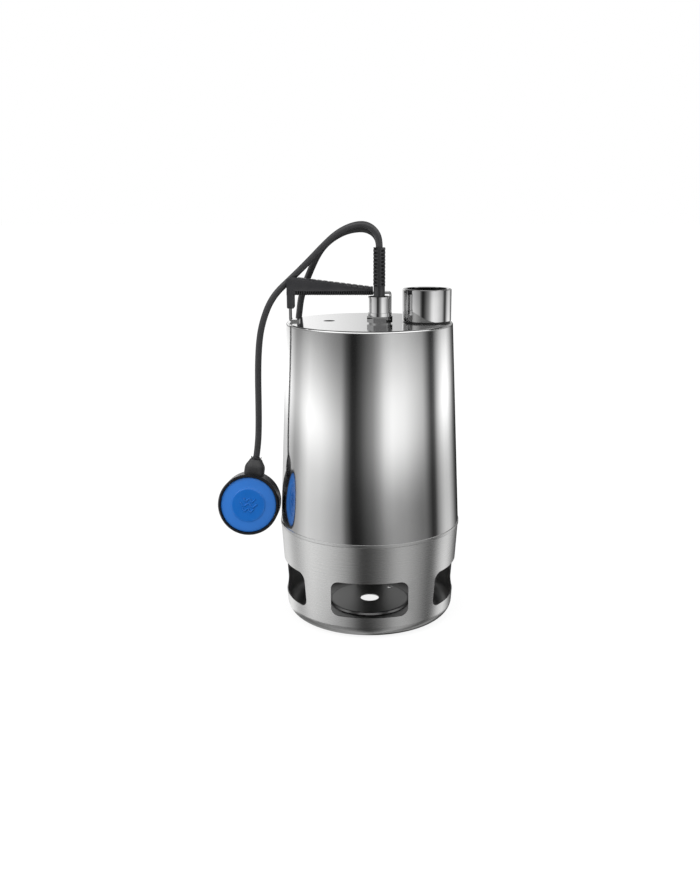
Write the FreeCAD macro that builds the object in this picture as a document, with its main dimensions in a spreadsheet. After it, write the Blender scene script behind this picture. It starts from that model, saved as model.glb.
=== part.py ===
"""Submersible sump pump with a side float switch, built as a parametric document.

The pump stands on the floor at z = 0 with its centre line on the Z axis. X runs to the right
towards the discharge port, and Y runs away from the side with the cable gland. Millimetres.
"""
import FreeCAD, Part
import math
import os
import re
import Sketcher

V = FreeCAD.Vector
doc = FreeCAD.newDocument("submersible_pump")
sheet = doc.addObject("Spreadsheet::Sheet", "Size")

# Driving dimensions, in millimetres and degrees.
SIZES = {
    # deep-drawn sleeve
    "sleeve_foot_radius": 125.2, "sleeve_top_radius": 113.0, "seam_height": 135.5,
    "top_height": 412.6, "sleeve_edge": 3.0, "sleeve_wall": 1.0,
    "vent_x": -55.3, "vent_y": 7.8, "vent_radius": 7.6,
    "ring_inner_radius": 121.9, "ring_outer_radius": 124.1,
    # strainer base
    "base_wall": 1.5, "base_foot_radius": 116.6, "base_shoulder_radius": 125.2,
    "base_lip_radius": 126.0, "base_lip_height": 4.5, "base_edge": 17.5,
    "floor_dish": 7.5, "floor_disc": 10.5, "disc_radius": 55.0, "dish_radius": 88.0,
    "stand_radius": 93.0, "drain_radius": 13.3,
    "bleed_x": 30.0, "bleed_y": 40.0, "bleed_radius": 4.0,
    "window_low": 31.0, "window_high": 80.5, "window_half": 51.7, "window_corner": 11.0,
    # discharge port, riser pipe
    "port_x": 77.5, "port_radius": 33.1, "port_top": 457.0, "port_bottom": 414.0,
    "port_thread_radius": 28.3, "port_thread_length": 26.0, "port_neck_radius": 30.5,
    "port_foot": 396.0, "port_stop": 425.0, "port_stop_radius": 26.0, "locknut_radius": 32.4,
    "pipe_seal_low": 392.8, "pipe_seal_high": 395.8, "pipe_seal_radius": 30.4,
    "riser_radius": 28.0, "riser_wall": 1.5, "riser_low": 150.0, "riser_high": 424.0,
    # motor, on its own centre line beside the riser pipe
    "motor_x": -30.0, "can_radius": 75.0, "can_wall": 2.0, "can_low": 209.0, "can_high": 384.0,
    "head_radius": 76.0, "head_top": 391.0, "core_low": 240.0, "core_high": 320.0,
    "stator_bore": 43.0, "rotor_radius": 42.6, "winding_length": 13.0, "winding_inner": 46.0,
    "winding_outer": 68.0, "upper_web_low": 346.0, "upper_web_high": 352.0,
    "upper_hub_radius": 27.5, "upper_hub_high": 356.0, "head_low": 380.0, "gland_boss_radius": 19.0,
    "gland_bore_radius": 12.0,
    "block_left": -2.0, "block_right": 20.0, "block_low": 352.0, "block_high": 366.0,
    "terminal_x": 9.0, "terminal_radius": 2.4, "terminal_floor": 358.0,
    "capacitor_radius": 11.0, "capacitor_length": 60.0, "capacitor_height": 367.4,
    # pump housing
    "cover_low": 84.0, "cover_high": 88.0, "cover_radius": 119.0, "eye_radius": 29.0,
    "casing_radius": 72.0, "chamber_radius": 64.0, "roof_low": 160.0, "roof_high": 166.0,
    "collar_top": 178.0, "riser_boss_radius": 34.0, "riser_throat_radius": 25.0,
    "passage_outer_half": 33.0, "passage_half": 22.0, "passage_floor": 96.0, "passage_roof": 150.0,
    "seal_bore_radius": 40.0,
    # impeller, on the shaft's lower end
    "hub_radius": 16.0, "hub_low": 142.0, "hub_high": 160.0, "shroud_radius": 56.0,
    "shroud_low": 152.0, "shroud_high": 157.0, "vane_low": 138.0, "vane_start": 14.0,
    "vane_end": 54.0, "vane_half": 2.0, "vane_count": 8, "nut_low": 133.0, "nut_high": 140.5,
    "nut_radius": 11.0, "washer_radius": 12.5, "washer_high": 141.9, "key_low": 144.0,
    "key_high": 158.0, "key_half": 2.0, "keyway_floor": 6.5, "key_top": 9.8,
    # oil chamber and shaft seals
    "chamber_floor": 161.0, "seat_high": 168.0, "seat_radius": 17.0, "oil_wall_radius": 48.0,
    "oil_radius": 42.0, "oil_flange_radius": 71.5, "oil_flange_high": 170.0, "bracket_low": 200.0,
    "bracket_high": 208.0, "bearing_seat_radius": 37.0, "bearing_seat_high": 226.0,
    "lip_seal_radius": 20.0, "spring_radius": 13.0, "spring_low": 176.4, "spring_wire": 1.1,
    # screws, and the circles that they stand on
    "screw_radius": 2.5, "screw_hole_radius": 2.55, "screw_head_radius": 4.4,
    "screw_head_height": 3.5, "housing_screw_circle": 67.5, "head_screw_circle": 62.0,
    # shaft
    "shaft_low": 129.0, "thread_radius": 6.0, "impeller_seat_radius": 8.0,
    "impeller_seat_high": 160.5, "seal_seat_radius": 10.0, "rotor_seat_radius": 15.0,
    "rotor_seat_high": 326.0, "shaft_high": 352.0,
    # shaft and bearings
    "lower_bearing": 208.6, "lower_width": 17.0, "lower_bore": 12.5, "lower_outer": 31.0,
    "lower_pitch": 21.75, "lower_ball": 5.7,
    "upper_bearing": 336.0, "upper_width": 14.0, "upper_bore": 10.0, "upper_outer": 23.5,
    "upper_pitch": 16.85, "upper_ball": 3.95, "race_gap": 0.05,
    # cable gland and its strain relief
    "gland_x": 13.5, "gland_y": -22.0, "gland_hex": 34.0, "gland_radius": 14.6,
    "gland_top": 448.4, "gland_foot": 397.0, "gland_thread_radius": 12.0, "gland_throat": 9.5,
    "grommet_low": 402.0, "relief_seat": 428.0, "relief_seat_radius": 11.6,
    "relief_x": 12.7, "relief_half_gap": 6.0, "relief_core": 6.7,
    "relief_radius": 8.0, "relief_top": 512.4, "relief_pitch": 4.8, "relief_ribs": 10,
    # handle
    "handle_y": 3.0, "strap_width": 16.0, "strap_wall": 3.0, "strap_left": -109.2,
    "strap_right": 29.6, "strap_top": 453.0, "strap_bend": 4.0, "grip_width": 22.0, "grip_left": -111.8,
    "grip_right": 4.6, "grip_bottom": 448.7, "grip_low": 430.6, "grip_leg": -102.0,
    "grip_high": 473.0, "grip_end_high": 459.2, "rib_pitch": 3.0, "rib_count": 32,
    # cables
    "mains_radius": 4.6, "float_cable_radius": 4.5, "coil_x": -25.0, "coil_y": 255.0,
    "coil_inner": 62.6, "coil_outer": 100.0, "coil_low": 1.0, "coil_high": 47.5,
    "tie_wall": 1.0, "tie_width": 9.0,
    # plug, lying on its side
    "plug_x": 108.0, "plug_y": 206.0, "plug_radius": 19.0, "plug_length": 38.0,
    "plug_waist": 26.0, "plug_shoulder_radius": 12.0, "plug_neck_radius": 9.0, "plug_neck": 12.0,
    "plug_sleeve_radius": 7.5, "plug_sleeve_end_radius": 5.8, "plug_sleeve_end": 38.0,
    "pin_radius": 2.4, "pin_length": 19.0, "pin_spacing": 19.0,
    # float
    "float_x": -168.7, "float_y": -9.4, "float_z": 158.3, "float_tilt": 8.5, "float_lean": 8.0,
    "float_radius": 42.5, "float_half": 22.5, "band_wall": 3.0, "band_lip": 2.0,
    "shell_wall": 2.0, "face_radius": 38.9, "face_disc_radius": 21.0, "face_step_radius": 22.5,
    "boot_radius": 13.6, "boot_foot": 36.0, "boot_shoulder": 46.0, "boot_waist": 53.0,
    "boot_neck": 60.0, "boot_neck_radius": 9.5, "boot_mouth": 62.5, "boot_mouth_radius": 6.4,
    "boot_top": 66.0, "switch_bore": 7.3, "tube_low": -30.0, "tube_floor": -28.0,
    "switch_low": 16.0, "switch_high": 30.0, "switch_half": 7.0, "switch_depth": 8.0,
    "plunger_hole": 1.6, "plunger_hole_high": 25.0, "plunger_radius": 1.5, "plunger_low": 4.3,
    "plunger_high": 20.0, "ball_radius": 7.0, "ball_rest": -20.8,
}
PARTS = []


def fill_sheet():
    """One row for each dimension: its name, and its value under that alias."""
    for row, (name, number) in enumerate(SIZES.items(), start=1):
        sheet.set(f"A{row}", name.replace("_", " "))
        sheet.set(f"B{row}", str(number))
        sheet.setAlias(f"B{row}", name)
    doc.recompute()


def formula(text):
    """A formula of the sheet's names, written the way the document reads it."""
    def named(word):
        return "Size." + word.group() if word.group() in SIZES else word.group()
    return re.sub(r"[A-Za-z_]\w*", named, str(text))


def number(text):
    """The value of a formula of the sheet's names."""
    return float(sheet.evalExpression(formula(text)))


# ---------------------------------------------------------------- building helpers

def put(item, place, axis=V(0, 0, 1), angle="0"):
    """Stand an object's own origin at place, turned about the given axis."""
    item.Placement = FreeCAD.Placement(V(*(number(text) for text in place)),
                                       FreeCAD.Rotation(axis, number(angle)))
    for name, text in zip("xyz", place):
        item.setExpression("Placement.Base." + name, formula(text))
    if angle != "0":
        item.setExpression("Placement.Rotation.Angle", formula(angle))


def new_body(label, place=("0", "0", "0")):
    """A design body whose own origin stands at place."""
    body = doc.addObject("PartDesign::Body", label)
    body.Label = label
    body.AllowCompound = True
    put(body, place)
    PARTS.append(body)
    return body


def new_sketch(body, role, lift="0"):
    """A sketch on one of the body's own planes, lift along the plane's normal."""
    sketch = body.newObject("Sketcher::SketchObject", body.Label + "_sketch")
    plane = next(item for item in body.Origin.OriginFeatures if item.Role == role)
    sketch.AttachmentSupport = (plane, [""])
    sketch.MapMode = "FlatFace"
    sketch.setExpression("AttachmentOffset.Base.z", formula(lift))
    return sketch


def pin(sketch, kind, item, point, text):
    """Tie one coordinate of a sketch point, from the sketch's origin, to a formula."""
    sketch.addConstraint(Sketcher.Constraint(kind, -1, 1, item, point, number(text)))
    sketch.setExpression(f"Constraints[{sketch.ConstraintCount - 1}]", formula(text))


def draw_outline(sketch, corners):
    """A closed outline of straight lines through corners given as formulas."""
    points = [V(number(x), number(y), 0) for x, y in corners]
    lines = []
    for here, there in zip(points, points[1:] + points[:1]):
        lines.append(sketch.addGeometry(Part.LineSegment(here, there), False))
    for line, after in zip(lines, lines[1:] + lines[:1]):
        sketch.addConstraint(Sketcher.Constraint("Coincident", line, 2, after, 1))
    for line, (x, y) in zip(lines, corners):
        pin(sketch, "DistanceX", line, 1, x)
        pin(sketch, "DistanceY", line, 1, y)


def draw_circle(sketch, x, y, radius):
    """A circle whose centre and radius are formulas."""
    centre = V(number(x), number(y), 0)
    item = sketch.addGeometry(Part.Circle(centre, V(0, 0, 1), number(radius)), False)
    pin(sketch, "DistanceX", item, 3, x)
    pin(sketch, "DistanceY", item, 3, y)
    sketch.addConstraint(Sketcher.Constraint("Radius", item, number(radius)))
    sketch.setExpression(f"Constraints[{sketch.ConstraintCount - 1}]", formula(radius))


def draw_rounded_box(sketch, left, right, low, high, corner):
    """A rectangle with quarter-circle corners, all given as formulas."""
    radius = number(corner)
    centres = [(f"{left} + {corner}", f"{low} + {corner}"), (f"{right} - {corner}", f"{low} + {corner}"),
               (f"{right} - {corner}", f"{high} - {corner}"), (f"{left} + {corner}", f"{high} - {corner}")]
    arcs = []
    for index, (x, y) in enumerate(centres):
        circle = Part.Circle(V(number(x), number(y), 0), V(0, 0, 1), radius)
        start = math.pi * (1 + index / 2)
        arcs.append(sketch.addGeometry(Part.ArcOfCircle(circle, start, start + math.pi / 2), False))
    lines = []
    for arc, after in zip(arcs, arcs[1:] + arcs[:1]):
        here = sketch.getPoint(arc, 2)
        there = sketch.getPoint(after, 1)
        lines.append(sketch.addGeometry(Part.LineSegment(here, there), False))
        sketch.addConstraint(Sketcher.Constraint("Tangent", arc, 2, lines[-1], 1))
        sketch.addConstraint(Sketcher.Constraint("Tangent", lines[-1], 2, after, 1))
    for arc, (x, y) in zip(arcs, centres):
        pin(sketch, "DistanceX", arc, 3, x)
        pin(sketch, "DistanceY", arc, 3, y)
    sketch.addConstraint(Sketcher.Constraint("Radius", arcs[0], radius))
    sketch.setExpression(f"Constraints[{sketch.ConstraintCount - 1}]", formula(corner))


def pad(body, sketch, length, midplane=False, backwards=False):
    """Material over a sketch."""
    feature = body.newObject("PartDesign::Pad", body.Label + "_pad")
    feature.Profile = sketch
    feature.setExpression("Length", formula(length))
    feature.Midplane = midplane
    feature.Reversed = backwards
    return feature


def pocket(body, sketch, length, midplane=False, backwards=False):
    """A cut over a sketch. It must take something away, so its volume is compared."""
    doc.recompute()
    before = body.Shape.Volume
    feature = body.newObject("PartDesign::Pocket", body.Label + "_pocket")
    feature.Profile = sketch
    feature.setExpression("Length", formula(length))
    feature.Midplane = midplane
    feature.Reversed = backwards
    doc.recompute()
    if body.Shape.Volume > before - 0.01:
        raise RuntimeError(f"{body.Label}: a pocket cuts nothing")
    return feature


def disc(body, x, y, radius, low, high):
    """An upright cylinder of material from low to high."""
    sketch = new_sketch(body, "XY_Plane", low)
    draw_circle(sketch, x, y, radius)
    return pad(body, sketch, f"({high}) - ({low})")


def bore(body, x, y, radius, low, high):
    """An upright round hole from high down to low."""
    sketch = new_sketch(body, "XY_Plane", high)
    draw_circle(sketch, x, y, radius)
    return pocket(body, sketch, f"({high}) - ({low})")


def block(body, left, right, front, back, low, high):
    """A box of material between six formulas."""
    sketch = new_sketch(body, "XY_Plane", low)
    draw_outline(sketch, [(left, front), (right, front), (right, back), (left, back)])
    return pad(body, sketch, f"({high}) - ({low})")


def slot(body, left, right, front, back, low, high):
    """A box-shaped cut between six formulas."""
    sketch = new_sketch(body, "XY_Plane", high)
    draw_outline(sketch, [(left, front), (right, front), (right, back), (left, back)])
    return pocket(body, sketch, f"({high}) - ({low})")


def origin_axis(body, role):
    return (next(item for item in body.Origin.OriginFeatures if item.Role == role), [""])


def around(body, feature, count):
    """Repeat a feature evenly about the body's own Z axis."""
    pattern = body.newObject("PartDesign::PolarPattern", body.Label + "_around")
    pattern.Originals = [feature]
    pattern.Axis = origin_axis(body, "Z_Axis")
    pattern.Angle = 360
    pattern.Occurrences = count
    body.Tip = pattern
    return pattern


def along(body, feature, role, length, count, backwards=False):
    """Repeat a feature along one of the body's axes, over length."""
    pattern = body.newObject("PartDesign::LinearPattern", body.Label + "_along")
    pattern.Originals = [feature]
    pattern.Direction = origin_axis(body, role)
    pattern.Reversed = backwards
    pattern.setExpression("Length", formula(length))
    pattern.Occurrences = count
    body.Tip = pattern
    return pattern


def turned(label, corners, place=("0", "0", "0")):
    """A turned piece: an outline of (radius, height) corners swept about its own Z axis."""
    body = new_body(label, place)
    turn_outline(body, corners)
    return body


def turn_outline(body, corners):
    sketch = new_sketch(body, "XZ_Plane")
    draw_outline(sketch, corners)
    feature = body.newObject("PartDesign::Revolution", body.Label + "_turn")
    feature.Profile = sketch
    feature.ReferenceAxis = (sketch, ["V_Axis"])
    feature.Angle = 360
    return feature


def ring_groove(body, x, y, radius):
    """A groove of round section about the body's Z axis."""
    sketch = new_sketch(body, "XZ_Plane")
    draw_circle(sketch, x, y, radius)
    feature = body.newObject("PartDesign::Groove", body.Label + "_groove")
    feature.Profile = sketch
    feature.ReferenceAxis = (sketch, ["V_Axis"])
    feature.Angle = 360


def edges_at(shape, spots):
    """Names of the edges that pass through the given points of the body's own frame."""
    names = []
    for index, edge in enumerate(shape.Edges, start=1):
        if any(edge.distToShape(Part.Vertex(spot))[0] < 0.02 for spot in spots):
            names.append(f"Edge{index}")
    return names


def round_edges(body, radius, spots):
    """Round the edges through the given points, each a triple of formulas."""
    doc.recompute()
    base = body.Tip
    points = [V(*(number(text) for text in spot)) for spot in spots]
    feature = body.newObject("PartDesign::Fillet", body.Label + "_round")
    feature.Base = (base, edges_at(base.Shape, points))
    feature.setExpression("Radius", formula(radius))
    doc.recompute()
    return feature


def hollow(body, wall, open_height):
    """Hollow a turned body to an even wall, open at the flat face at open_height."""
    doc.recompute()
    base = body.Tip
    level = number(open_height)
    faces = []
    for index, face in enumerate(base.Shape.Faces, start=1):
        box = face.BoundBox
        if box.ZLength < 0.01 and abs(box.ZMin - level) < 0.01:
            faces.append(f"Face{index}")
    feature = body.newObject("PartDesign::Thickness", body.Label + "_hollow")
    feature.Base = (base, faces)
    feature.setExpression("Value", formula(wall))
    feature.Mode = 0
    feature.Join = 0
    feature.Reversed = True
    doc.recompute()
    return feature


def rods(label, place, circle, shank_end, head_low, head_high, count, first_angle=45):
    """A ring of screws, each a shank from shank_end to its head and a round head."""
    body = new_body(label, place)
    put(body, place, V(0, 0, 1), str(first_angle))
    low, high = sorted((number(shank_end), number(head_low)))
    first = disc(body, circle, "0", "screw_radius", str(low), str(high))
    second = disc(body, circle, "0", "screw_head_radius", head_low, head_high)
    doc.recompute()
    pattern = around(body, first, count)
    pattern.Originals = [first, second]


def ring_bores(body, x, y, circle, low, high, count, first_angle=45):
    """Screw holes on a circle about (x, y)."""
    for index in range(count):
        angle = math.radians(first_angle + index * 360 / count)
        bore(body, f"{x} + {circle} * {math.cos(angle):.6f}",
             f"{y} + {circle} * {math.sin(angle):.6f}", "screw_hole_radius", low, high)


# ---------------------------------------------------------------- casing

def outer_sleeve():
    """One deep-drawn cup, upside down: tapered wall, flat top with its openings."""
    body = turned("outer_sleeve", [("0", "seam_height"), ("sleeve_foot_radius", "seam_height"),
                                   ("sleeve_top_radius", "top_height"), ("0", "top_height")])
    round_edges(body, "sleeve_edge", [("sleeve_top_radius", "0", "top_height")])
    hollow(body, "sleeve_wall", "seam_height")
    floor = "top_height - 3 * sleeve_wall"
    bore(body, "port_x", "0", "port_neck_radius + 0.1", floor, "top_height")
    bore(body, "gland_x", "gland_y", "12.1", floor, "top_height")
    bore(body, "vent_x", "vent_y", "vent_radius", floor, "top_height")


def strainer_base():
    """Pressed cup under the sleeve, with five inlet windows and a raised floor."""
    shoulder = "seam_height - base_lip_height"
    body = turned("strainer_base", [
        ("0", "floor_disc"), ("disc_radius", "floor_disc"), ("disc_radius + 2", "floor_dish"),
        ("dish_radius", "floor_dish"), ("stand_radius", "0"), ("base_foot_radius", "0"),
        ("base_shoulder_radius", shoulder), ("base_lip_radius", shoulder + " + 0.8"),
        ("base_lip_radius", "seam_height"), ("0", "seam_height")])
    round_edges(body, "base_edge", [("base_foot_radius", "0", "0")])
    hollow(body, "base_wall", "seam_height")
    sketch = new_sketch(body, "XZ_Plane")
    draw_rounded_box(sketch, "-window_half", "window_half", "window_low", "window_high", "window_corner")
    window = pocket(body, sketch, "base_lip_radius + 5", backwards=True)
    around(body, window, 5)
    doc.recompute()
    bore(body, "0", "0", "drain_radius", "0", "floor_disc + 5")
    bore(body, "bleed_x", "bleed_y", "bleed_radius", "0", "floor_disc + 5")


def seam_ring():
    """Locating ring inside the seam: the base is pushed over it."""
    ring_low = "seam_height - base_lip_height + base_wall + 0.1"
    turned("seam_ring", [
        ("ring_inner_radius", ring_low), ("ring_outer_radius", ring_low),
        ("ring_outer_radius", "seam_height"), ("ring_outer_radius - 1", "seam_height + 12"),
        ("ring_inner_radius", "seam_height + 12")])


def discharge_socket():
    """Threaded pipe socket that stands on the sleeve, with a spigot through it."""
    lip = "port_top - port_thread_length"
    turned("discharge_socket", [
        ("riser_radius + 0.05", "port_foot"), ("port_neck_radius", "port_foot"),
        ("port_neck_radius", "port_bottom"),
        ("port_radius - 0.8", "port_bottom"), ("port_radius", "port_bottom + 0.8"),
        ("port_radius", "port_top - 0.8"), ("port_radius - 0.8", "port_top"),
        ("port_thread_radius + 1", "port_top"), ("port_thread_radius", "port_top - 1"),
        ("port_thread_radius", lip), ("port_stop_radius", lip), ("port_stop_radius", "port_stop"),
        ("riser_radius + 0.05", "port_stop")], ("port_x", "0", "0"))
    turned("socket_gasket", [
        ("port_neck_radius + 0.1", "top_height"), ("port_radius - 1.4", "top_height"),
        ("port_radius - 1.4", "port_bottom"), ("port_neck_radius + 0.1", "port_bottom")],
        ("port_x", "0", "0"))
    under = "top_height - sleeve_wall"
    turned("socket_locknut", [
        ("port_neck_radius + 0.05", under + " - 7"), ("locknut_radius", under + " - 7"),
        ("locknut_radius", under), ("port_neck_radius + 0.05", under)], ("port_x", "0", "0"))


def draw_hexagon(sketch, x, y, radius):
    """A hexagon of the given corner radius, two corners along X."""
    corners = []
    for index in range(6):
        angle = math.radians(60 * index)
        corners.append((f"{x} + ({radius}) * {math.cos(angle):.6f}",
                        f"{y} + ({radius}) * {math.sin(angle):.6f}"))
    draw_outline(sketch, corners)


def riser_pipe():
    """Pipe from the pump housing up to the socket, and its two sealing rings."""
    turned("riser_pipe", [("riser_radius - riser_wall", "riser_low"), ("riser_radius", "riser_low"),
                          ("riser_radius", "riser_high"), ("riser_radius - riser_wall", "riser_high")],
           ("port_x", "0", "0"))
    seals = turned("riser_seals", [
        ("riser_radius", "collar_top"), ("riser_radius + 3", "collar_top"),
        ("riser_radius + 3", "collar_top + 3"), ("riser_radius", "collar_top + 3")],
        ("port_x", "0", "0"))
    turn_outline(seals, [("riser_radius", "pipe_seal_low"), ("pipe_seal_radius", "pipe_seal_low"),
                         ("pipe_seal_radius", "pipe_seal_high"), ("riser_radius", "pipe_seal_high")])


# ---------------------------------------------------------------- hydraulic end

def pump_housing():
    """Casing over the impeller, with a side passage up to the riser pipe."""
    body = new_body("pump_housing")
    disc(body, "motor_x", "0", "casing_radius", "cover_high", "roof_high")
    block(body, "motor_x", "port_x", "-passage_outer_half", "passage_outer_half", "cover_high", "roof_high")
    disc(body, "port_x", "0", "riser_boss_radius", "cover_high", "collar_top")
    bore(body, "motor_x", "0", "chamber_radius", "cover_high", "roof_low")
    slot(body, "motor_x", "port_x", "-passage_half", "passage_half", "passage_floor", "passage_roof")
    bore(body, "port_x", "0", "riser_throat_radius", "passage_floor", "riser_low")
    bore(body, "port_x", "0", "riser_radius + 0.05", "riser_low", "collar_top")
    bore(body, "motor_x", "0", "seal_bore_radius", "roof_low", "roof_high")
    ring_bores(body, "motor_x", "0", "housing_screw_circle", "passage_roof", "roof_high", 4)
    ring_bores(body, "motor_x", "0", "housing_screw_circle", "cover_high", "cover_high + 13", 4, 0)


def suction_cover():
    """Flat plate between the strainer and the pump housing, with the suction eye."""
    body = new_body("suction_cover")
    disc(body, "0", "0", "cover_radius", "cover_low", "cover_high")
    bore(body, "motor_x", "0", "eye_radius", "cover_low", "cover_high")
    ring_bores(body, "motor_x", "0", "housing_screw_circle", "cover_low", "cover_high", 4, 0)
    rods("cover_screws", ("motor_x", "0", "0"), "housing_screw_circle", "cover_high + 12",
         "cover_low - screw_head_height", "cover_low", 4, 0)


def impeller_set():
    """Vortex impeller, its nut and its key."""
    place = ("motor_x", "0", "0")
    wheel = turned("impeller", [
        ("impeller_seat_radius", "hub_low"), ("hub_radius", "hub_low"), ("hub_radius", "shroud_low"),
        ("shroud_radius", "shroud_low"), ("shroud_radius", "shroud_high"), ("hub_radius", "shroud_high"),
        ("hub_radius", "hub_high"), ("impeller_seat_radius", "hub_high")], place)
    vane = block(wheel, "vane_start", "vane_end", "-vane_half", "vane_half", "vane_low", "shroud_low + 0.5")
    around(wheel, vane, int(SIZES["vane_count"]))
    doc.recompute()
    slot(wheel, "keyway_floor", "key_top + 0.2", "-key_half", "key_half", "key_low", "hub_high")
    nut = new_body("impeller_nut", place)
    sketch = new_sketch(nut, "XY_Plane", "nut_low")
    draw_hexagon(sketch, "0", "0", "nut_radius")
    pad(nut, sketch, "nut_high - nut_low")
    disc(nut, "0", "0", "washer_radius", "nut_high - 0.1", "washer_high")
    bore(nut, "0", "0", "thread_radius", "nut_low", "washer_high")
    key = new_body("impeller_key", place)
    block(key, "keyway_floor", "key_top", "-key_half", "key_half", "key_low", "key_high")


def shaft_seal():
    """Oil chamber with a mechanical seal below and a lip seal above."""
    place = ("motor_x", "0", "0")
    chamber = turned("oil_chamber", [
        ("seat_radius", "chamber_floor"), ("seal_bore_radius - 0.1", "chamber_floor"),
        ("seal_bore_radius - 0.1", "roof_high"), ("oil_flange_radius", "roof_high"),
        ("oil_flange_radius", "oil_flange_high"), ("oil_wall_radius", "oil_flange_high"),
        ("oil_wall_radius", "bracket_low"), ("oil_radius", "bracket_low"), ("oil_radius", "seat_high"),
        ("seat_radius", "seat_high")], place)
    doc.recompute()
    ring_bores(chamber, "0", "0", "housing_screw_circle", "roof_high", "oil_flange_high", 4)
    bore_radius = "seal_seat_radius + 0.4"
    turned("seal_seat", [(bore_radius, "chamber_floor"), ("seat_radius", "chamber_floor"),
                         ("seat_radius", "seat_high"), (bore_radius, "seat_high")], place)
    low = "seat_high + 0.1"
    turned("seal_face", [("seal_seat_radius", low), ("seat_radius - 1.5", low),
                         ("seat_radius - 1.5", low + " + 6.9"), ("seal_seat_radius", low + " + 6.9")], place)
    spring = new_body("seal_spring", place)
    sketch = new_sketch(spring, "XZ_Plane")
    draw_circle(sketch, "spring_radius", "spring_low", "spring_wire")
    coil = spring.newObject("PartDesign::AdditiveHelix", "seal_spring_helix")
    coil.Profile = sketch
    coil.ReferenceAxis = (sketch, ["V_Axis"])
    coil.Mode = 1
    coil.Pitch = 5.3
    coil.Turns = 4
    lip_bore = "lower_bore + 0.1"
    turned("lip_seal", [(lip_bore, "bracket_low + 1"), ("lip_seal_radius", "bracket_low + 1"),
                        ("lip_seal_radius", "bracket_high - 1"), (lip_bore, "bracket_high - 1")], place)


# ---------------------------------------------------------------- motor

def bearing(label, place, low, width, inner, outer, pitch, ball, count):
    """Deep-groove ball bearing: outer ring, inner ring outline and its balls."""
    middle = f"{low} + {width} / 2"
    rings = ((label + "_outer", f"{pitch} + 0.55 * {ball}", outer),
             (label + "_inner", inner, f"{pitch} - 0.55 * {ball}"))
    for name, near, far in rings:
        high = f"{low} + {width}"
        ring = turned(name, [(near, low), (far, low), (far, high), (near, high)], place)
        doc.recompute()
        ring_groove(ring, pitch, middle, f"{ball} + race_gap")
    balls = new_body(label + "_balls", place)
    sketch = new_sketch(balls, "XZ_Plane")
    draw_half_disc(sketch, pitch, middle, ball)
    one = balls.newObject("PartDesign::Revolution", label + "_ball")
    one.Profile = sketch
    one.ReferenceAxis = (sketch, ["Axis0"])
    one.Angle = 360
    doc.recompute()
    around(balls, one, count)


def draw_half_disc(sketch, x, y, radius):
    """Half a disc beside an upright centre line through (x, y)."""
    centre = V(number(x), number(y), 0)
    size = number(radius)
    circle = Part.Circle(centre, V(0, 0, 1), size)
    arc = sketch.addGeometry(Part.ArcOfCircle(circle, -math.pi / 2, math.pi / 2), False)
    line = sketch.addGeometry(Part.LineSegment(centre + V(0, size, 0), centre - V(0, size, 0)), False)
    axis = sketch.addGeometry(Part.LineSegment(centre - V(0, 2 * size, 0), centre + V(0, 2 * size, 0)), True)
    sketch.addConstraint(Sketcher.Constraint("Coincident", arc, 2, line, 1))
    sketch.addConstraint(Sketcher.Constraint("Coincident", line, 2, arc, 1))
    sketch.addConstraint(Sketcher.Constraint("Vertical", line))
    sketch.addConstraint(Sketcher.Constraint("PointOnObject", arc, 3, line))
    pin(sketch, "DistanceX", arc, 3, x)
    pin(sketch, "DistanceY", arc, 3, y)
    sketch.addConstraint(Sketcher.Constraint("Radius", arc, size))
    sketch.setExpression(f"Constraints[{sketch.ConstraintCount - 1}]", formula(radius))
    for point, sign in ((1, "-"), (2, "+")):
        pin(sketch, "DistanceX", axis, point, x)
        pin(sketch, "DistanceY", axis, point, f"{y} {sign} 2 * ({radius})")


def bearing_bracket():
    """Lower bracket between the oil chamber and the motor can."""
    place = ("motor_x", "0", "0")
    body = turned("bearing_bracket", [
        ("lip_seal_radius", "bracket_low"), ("head_radius", "bracket_low"), ("head_radius", "bracket_high"),
        ("bearing_seat_radius", "bracket_high"), ("bearing_seat_radius", "bearing_seat_high"),
        ("lower_outer", "bearing_seat_high"), ("lower_outer", "bracket_high + 0.5"),
        ("lip_seal_radius", "bracket_high + 0.5")], place)
    doc.recompute()
    ring_bores(body, "0", "0", "housing_screw_circle", "bracket_low", "bracket_high", 4)
    rods("housing_screws", place, "housing_screw_circle", "roof_low - 9", "bracket_high",
         "bracket_high + screw_head_height", 4)


def shaft_and_rotor():
    """Stepped shaft with the rotor core pressed on."""
    place = ("motor_x", "0", "0")
    shaft = turned("shaft", [
        ("0", "shaft_low"), ("thread_radius", "shaft_low"), ("thread_radius", "hub_low"),
        ("impeller_seat_radius", "hub_low"), ("impeller_seat_radius", "impeller_seat_high"),
        ("seal_seat_radius", "impeller_seat_high"), ("seal_seat_radius", "bracket_low"),
        ("lower_bore", "bracket_low"), ("lower_bore", "bearing_seat_high"),
        ("rotor_seat_radius", "bearing_seat_high"), ("rotor_seat_radius", "rotor_seat_high"),
        ("upper_bore", "rotor_seat_high"), ("upper_bore", "shaft_high"), ("0", "shaft_high")], place)
    doc.recompute()
    slot(shaft, "keyway_floor", "impeller_seat_radius + 0.5", "-key_half", "key_half", "key_low", "key_high")
    turned("rotor_core", [("rotor_seat_radius", "core_low - 2"), ("rotor_radius", "core_low - 2"),
                          ("rotor_radius", "core_high + 2"), ("rotor_seat_radius", "core_high + 2")], place)
    bearing("lower_bearing", place, "lower_bearing", "lower_width", "lower_bore", "lower_outer",
            "lower_pitch", "lower_ball", 9)
    bearing("upper_bearing", place, "upper_bearing", "upper_width", "upper_bore", "upper_outer",
            "upper_pitch", "upper_ball", 8)


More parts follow.
